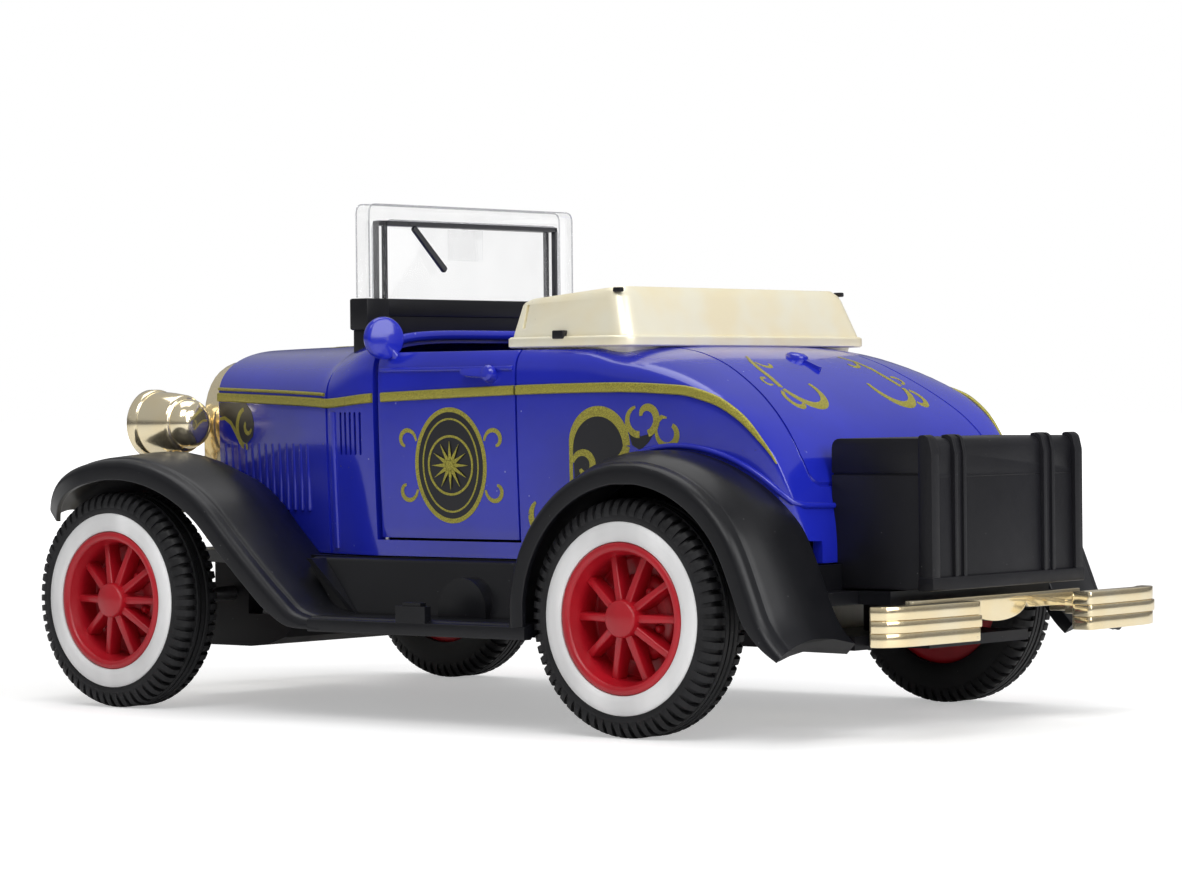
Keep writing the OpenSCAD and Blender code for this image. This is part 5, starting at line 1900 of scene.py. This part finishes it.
@dataclass
class Trim:
    """Radiator, lamps, bumpers and the luggage trunk.

    Attributes:
        shop: Materials and trees.
        grille_x: Rear face of the radiator shell.
        lamp: Middle of the left lamp's front.
        lamp_r: Its radius.
        front_reach: The front bumper's face.
        rear_reach: The rear bumper's face.
        trunk_half: Half width of the trunk.
    """

    shop: Shop
    grille_x: float = 42.75
    lamp: tuple[float, float, float] = (52.0, 16.0, 35.2)
    lamp_r: float = 4.45
    front_reach: float = 62.0
    rear_reach: float = 74.0
    trunk_half: float = 15.2

    def radiator(self) -> None:
        """The plated radiator shell and its dark core with slats."""
        across = facing((self.grille_x, 0, 0), (1, 0, 0), (0, 1, 0))
        outer = rounded([(-11.8, 20.0, 0.8), (-11.8, 43.4, 8.5), (11.8, 43.4, 8.5), (11.8, 20.0, 0.8)], 1, 10)
        inner = rounded([(-10.3, 21.5, 0.8), (-10.3, 41.9, 7), (10.3, 41.9, 7), (10.3, 21.5, 0.8)], 1, 10)
        shape = carved(Shape().slab(outer, 0, 4, across), Shape().slab(inner, 1.4, 6, across))
        piece("radiator_plated", shape, self.shop.paint.gold, Body.CAR, "gold", "radiator_shell", bevel=0.4)
        core = Shape().slab(inner, 1.42, 1.9, across)
        core.verts = [(x, y * 0.995, 31.7 + (z - 31.7) * 0.995) for x, y, z in core.verts]
        slat = Shape().block((1.85, -0.22, 22.0), (2.9, 0.22, 41.2))
        place = Matrix.Translation((self.grille_x, -9.1, 0))
        core.join(self.shop.repeat.run(slat, 14, place, step=(0, 1.4, 0)))
        piece(
            "radiator_slats", core, self.shop.paint.black, Body.CAR, "black_plastic", "radiator_core",
            bevel=0.06,
        )

    def lamps(self) -> None:
        """The two drum lamps, their lenses and the bar between them."""
        x, y, z = self.lamp
        r = self.lamp_r
        drum = [
            (0.0, 1.25), (r - 0.85, 1.25), (r - 0.72, 0.9), (r - 0.7, 0.02), (r - 0.5, -0.12),
            (r - 0.15, -0.1), (r, 0.1),
            (r, 1.25), (r - 0.12, 1.5), (r - 0.3, 1.62), (r - 0.28, 2.2), (r - 0.45, 4.2), (r - 0.7, 6.1),
            (r - 0.85, 6.4), (r - 1.05, 6.5),
            (r - 1.25, 6.6), (3.2, 7.0), (3.12, 7.5), (2.85, 8.1), (2.35, 8.6), (1.6, 9.0), (0.8, 9.2),
            (0.0, 9.27),
        ]
        glass = [
            (0.0, -0.5), (0.9, -0.46), (1.8, -0.32), (2.8, -0.08), (r - 0.78, 0.35), (r - 0.75, 1.15),
            (0.0, 1.15),
        ]
        for side in Side:
            place = facing((x, y * side.value, z), (-1, 0, 0), (0, 0, 1))
            shell = Shape().turned(drum, 72, place)
            name = side.word
            piece(
                f"lamp_drum_{name}", shell, self.shop.paint.gold, Body.CAR, "gold", f"headlight_{name}",
                crease=40,
            )
            lens = Shape().turned(glass, 72, place)
            flute = Shape().block((-0.09, -3.2, -0.42), (0.09, 3.2, 0.1))
            flutes = self.shop.repeat.run(
                flute, 9, place @ Matrix.Translation((-1.8, 0, 0)), step=(0.45, 0, 0),
            )
            lens.join(flutes)
            piece(
                f"lamp_lens_{name}", lens, self.shop.paint.lens, Body.CAR, "lens", f"headlight_lens_{name}",
                crease=40,
            )
        bar = Shape()
        ends = facing((48.6, 0, 29.4), (0, 1, 0))
        bar.turned([(0.0, -y), (0.6, -y), (0.6, y), (0.0, y)], 24, ends)
        post = [(0.0, -1.0), (0.75, -1.0), (0.95, -0.7), (0.7, 0.1), (0.75, 1.0), (1.5, 1.9), (0.0, 1.9)]
        stay = Shape().turned(post, 24, Matrix.Translation((48.6, y, 29.4)))
        stay.block((46.8, 6, 28.9), (48.6, 8, 29.9)).block((44.3, 15.2, 28.6), (49.4, 16.8, 29.2))
        bar.join(stay.both())
        piece("lamp_bar", bar, self.shop.paint.gold, Body.CAR, "gold", "headlight_bar", bevel=0.12, crease=38)

    def arc_band(self, reach: float, thick: float, low: float, high: float) -> Shape:
        """A curved bar of the front bumper."""
        big, turn = 120.0, 13.3
        centre = self.front_reach - big
        outline = arc(centre, 0, reach, -turn, turn, 40) + arc(centre, 0, reach - thick, turn, -turn, 40)
        return Shape().slab(outline, low, high, Matrix())

    def front_bumper(self) -> None:
        """The curved front bumper: three ribs on a backing, on two arms."""
        rib = self.arc_band(120, 1.4, 8.75, 10.05)
        shape = self.shop.repeat.run(rib, 3, Matrix(), step=(0, 0, 1.6))
        shape.join(self.arc_band(119.5, 1.1, 8.85, 13.1))
        shape.join(Shape().block((48.1, 9, 10.3), (60.4, 11, 11.7)).both())
        piece("bumper_front", shape, self.shop.paint.gold, Body.CAR, "gold", "front_bumper", bevel=0.32)

    def bumperette(self, low: float, high: float, inset: float) -> Shape:
        """One bar of the left rear bumperette, its outer end swept forwards."""
        x, y0, y1 = -self.rear_reach + inset, 11.0 + inset, 28.0 - inset
        outline = rounded([
            (x + 2.6, y0, 0.4), (x + 0.1, y0, 0.5), (x, y0 + 0.6, 0.4), (x + 0.35, y1 - 4, 6),
            (x + 1.0, y1 - 1.6, 2),
            (x + 1.7, y1 - 0.4, 0.6), (x + 3.4, y1, 0.4), (x + 3.4, y1 - 1.6, 0.4), (x + 2.4, y1 - 3.6, 1),
        ], 0.3, 5)
        return Shape().slab(outline, low, high, Matrix())

    def rear_bumper(self) -> None:
        """Two ribbed bumperettes, their bar and its half round plate."""
        x = -self.rear_reach
        shape = Shape().join(self.bumperette(10.8, 12.3, 0.14)).join(self.bumperette(12.34, 13.66, 0.0))
        shape.join(self.bumperette(13.7, 15.2, 0.14)).join(self.bumperette(10.9, 15.1, 0.3))
        shape.block((x + 1.4, 11.6, 12.6), (x + 4.0, 14.4, 14.2))
        shape = shape.both()
        across = facing((0, 0, 0), (-1, 0, 0), (0, 1, 0))
        local = across.to_3x3().transposed()
        dip = [(5.6 * math.cos(a), 14.2 + 1.9 * math.sin(a)) for a in np.linspace(0, -math.pi, 28)]
        plate = [
            (17.0, 15.3), (-17.0, 15.3), (-17.0, 14.1), (-12.0, 13.5), (-6.2, 13.6), *dip[::-1], (6.2, 13.6),
            (12.0, 13.5), (17.0, 14.1),
        ]
        flat = [tuple((local @ Vector((0, y, z)))[:2]) for y, z in plate]
        shape.slab(flat, -x - 6.4, -x - 5.3, across)
        arm = Shape().block(
            (x + 3.2, 12.0, 12.9), (x + 6.4, 14.0, 14.1),
        ).block((x + 6.0, 5, 13.9), (-64.8, 7, 14.6))
        shape.join(arm.both())
        piece("bumper_rear", shape, self.shop.paint.gold, Body.CAR, "gold", "rear_bumper", bevel=0.2)

    def trunk(self) -> None:
        """The luggage trunk: a tapered box with rims, straps and a lid line."""
        h = self.trunk_half
        side = rounded(
            [(-69.8, 16.4, 0.3), (-69.6, 33.2, 1.2), (-56.5, 33.2, 1.2), (-56.5, 16.4, 0.3)], 0.3, 5,
        )
        seam = Shape().block((-75, h - 0.3, 29.1), (-50, h + 1, 29.35)).both()
        shape = carved(Shape().slab(side, -h, h, along_y()), seam)
        post = [(-70.2, 16.4), (-70.2, 31.6), (-69.8, 33.2), (-69.2, 33.6), (-68.4, 33.5), (-68.4, 16.4)]
        rail = [(-70.35, 16.3), (-70.35, 17.8), (-68.3, 17.8), (-68.3, 16.3)]
        for low, high in (
            (-h - 0.14, 1.4 - h), (h - 1.4, h + 0.14), (-9.5, -8.9), (-7.8, -7.2), (8.5, 9.1), (10.2, 10.8),
        ):
            shape.slab(rounded(post, 0.3, 3), low, high, along_y())
        shape.slab(rounded(rail, 0.25, 3), -h - 0.2, h + 0.2, along_y())
        web = [(x + 0.25, z) for x, z in post]
        for y in (-8.35, 9.65):
            shape.slab(web, y - 0.8, y + 0.8, along_y())
        shape.block((-69.7, 1.6 - h, 28.8), (-69.5, h - 1.6, 29.0)).block(
            (-69.75, 1.6 - h, 18.4), (-69.6, h - 1.6, 18.6),
        )
        piece(
            "trunk_case", shape, self.shop.paint.black, Body.CAR, "black_plastic", "luggage_trunk",
            bevel=0.16, crease=30,
        )

    def build(self) -> None:
        """Builds the trim."""
        self.radiator()
        self.lamps()
        self.front_bumper()
        self.rear_bumper()
        self.trunk()


# ---------------------------------------------------------------- cockpit and chassis


@dataclass
class Inside:
    """The cockpit and the underside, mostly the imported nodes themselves.

    Attributes:
        shop: Materials and trees.
    """

    shop: Shop

    def build(self) -> None:
        """Gives each node in view its finish."""
        paint = self.shop.paint
        for nodes, material in (
            (("interior_tub", "dashboard", "steering_wheel", "base_plate"), paint.black),
            (("body_screws", "mainspring"), paint.steel),
            (("motor_case_left", "motor_case_right"), paint.ivory),
            (("axle_pinion", "idler_gear", "spring_gear"), paint.acetal),
        ):
            for node in nodes:
                finish_node(node, material)


# ---------------------------------------------------------------- studio


@dataclass
class Studio:
    """Floor, lights and camera.

    Attributes:
        eye: The camera's place in the part's frame.
        yaw: Its heading in degrees.
        pitch: Its rise in degrees.
        roll: Its roll in degrees.
        lens: Focal length in millimetres.
    """

    eye: tuple[float, float, float] = (-0.30984, 0.37076, 0.03787)
    yaw: float = -50.376
    pitch: float = -0.649
    roll: float = -0.555
    lens: float = 119.1

    def camera(self) -> None:
        """Sets up the camera."""
        y, p, r = (math.radians(a) for a in (self.yaw, self.pitch, self.roll))
        ahead = Vector((math.cos(p) * math.cos(y), math.cos(p) * math.sin(y), math.sin(p)))
        right = ahead.cross(Vector((0, 0, 1))).normalized()
        up = right.cross(ahead)
        across = right * math.cos(r) + up * math.sin(r)
        upright = up * math.cos(r) - right * math.sin(r)
        data = bpy.data.cameras.new("camera")
        data.lens, data.sensor_width, data.sensor_fit = self.lens, 36.0, "HORIZONTAL"
        data.clip_start, data.clip_end = 0.01, 20.0
        cam = bpy.data.objects.new("camera", data)
        turn = Matrix((across, upright, -ahead)).transposed().to_4x4()
        cam.matrix_world = Matrix.Translation(Vector(self.eye)) @ turn
        bpy.context.scene.collection.objects.link(cam)
        bpy.context.scene.camera = cam

    def lamp(self, name: str, at: Point, size: float, power: float, colour: Point = (1, 1, 1)) -> None:
        """A soft box that points at the car."""
        data = bpy.data.lights.new(name, "AREA")
        data.shape, data.size, data.energy, data.color = "SQUARE", size, power, colour
        obj = bpy.data.objects.new(name, data)
        obj.location = at
        obj.rotation_mode = "QUATERNION"
        obj.rotation_quaternion = (Vector((0, 0, 0.02)) - Vector(at)).to_track_quat("-Z", "Y")
        bpy.context.scene.collection.objects.link(obj)

    def floor(self) -> None:
        """A wide pale floor that glows: painted light, dim grey close to the car and white far away as the
        camera sees it, and a faint glow for other rays.
        """
        s = Surface("pale floor")
        dust = s.noise(30, 3).step(0.2, 0.8)
        s.feed("Base Color", s.mix(dust, (0.86, 0.86, 0.86, 1), (0.83, 0.83, 0.83, 1)))
        s.feed("Roughness", s.noise(12, 3) * 0.1 + 0.5)
        # Painted glow: to the camera the floor glows dim grey close to the car and white far away; every
        # other ray gets a faint glow.
        far = s.wire("ShaderNodeVectorMath", {"operation": "LENGTH"}, {0: s.place}, output="Value")
        seen = s.wire("ShaderNodeLightPath", output="Is Camera Ray")
        near = s.mix(far.step(0.16, 0.9), (0.4, 0.4, 0.4, 1), (1, 1, 1, 1))
        s.feed("Emission Color", s.mix(seen, (0.04, 0.04, 0.04, 1), near))
        s.feed("Emission Strength", 1.0)
        mesh = bpy.data.meshes.new("floor")
        reach = 6.0
        mesh.from_pydata(
            [(-reach, -reach, 0), (reach, -reach, 0), (reach, reach, 0), (-reach, reach, 0)], [],
            [(0, 1, 2, 3)],
        )
        obj = linked(mesh, "floor")
        mesh.materials.append(s.material)

    def sky(self) -> None:
        """A white studio that is dimmer low down, so that bright parts show contrast."""
        world = bpy.data.worlds.new("studio")
        bpy.context.scene.world = world
        world.use_nodes = True
        g = Graph(world.node_tree)
        g.tree.nodes.clear()
        way = g.wire("ShaderNodeTexCoord", output="Generated")
        parts = g.add("ShaderNodeSeparateXYZ", inputs={0: way})
        height = Wire(g, parts.outputs["Z"])
        ramp = g.wire("ShaderNodeValToRGB", {"stops": [
            (0.0, (0.3, 0.3, 0.3, 1)), (0.50, (0.3, 0.3, 0.32, 1)), (0.54, (0.25, 0.25, 0.27, 1)),
            (0.62, (1.0, 1.0, 1.0, 1)), (1.0, (1, 1, 1, 1)),
        ]}, {"Fac": height * 0.5 + 0.5})
        plain = g.wire("ShaderNodeBackground", inputs={"Color": (1, 1, 1, 1), "Strength": 1.0})
        lit = g.wire("ShaderNodeBackground", inputs={"Color": ramp, "Strength": 0.36})
        seen = g.wire("ShaderNodeLightPath", output="Is Camera Ray")
        through = g.wire("ShaderNodeLightPath", output="Is Transmission Ray")
        mixed = g.wire("ShaderNodeMixShader", inputs={0: seen.maths("MAXIMUM", through), 1: lit, 2: plain})
        g.add("ShaderNodeOutputWorld", inputs={"Surface": mixed})

    def build(self) -> None:
        """Builds the studio."""
        self.camera()
        self.floor()
        self.sky()
        self.lamp("tail", (-1.0, 0.05, 0.55), 0.8, 6.5)
        self.lamp("key", (-0.4, 0.55, 0.8), 0.5, 3.2)
        self.lamp("top", (0.15, -0.15, 0.8), 0.6, 2.0)
        bpy.context.scene.view_settings.view_transform = "Standard"


def main() -> None:
    """Builds the car and its studio."""
    logging.basicConfig(level=logging.INFO, format="%(name)s: %(message)s")
    shop = Shop(Paintbox.mixed(), Repeater(), Sweeper())
    Studio().build()
    for part in (
        Coachwork(shop), RunningGear(shop), Fenders(shop), UpperWorks(shop), Trim(shop), Inside(shop),
    ):
        part.build()


if __name__ == "__main__":
    main()
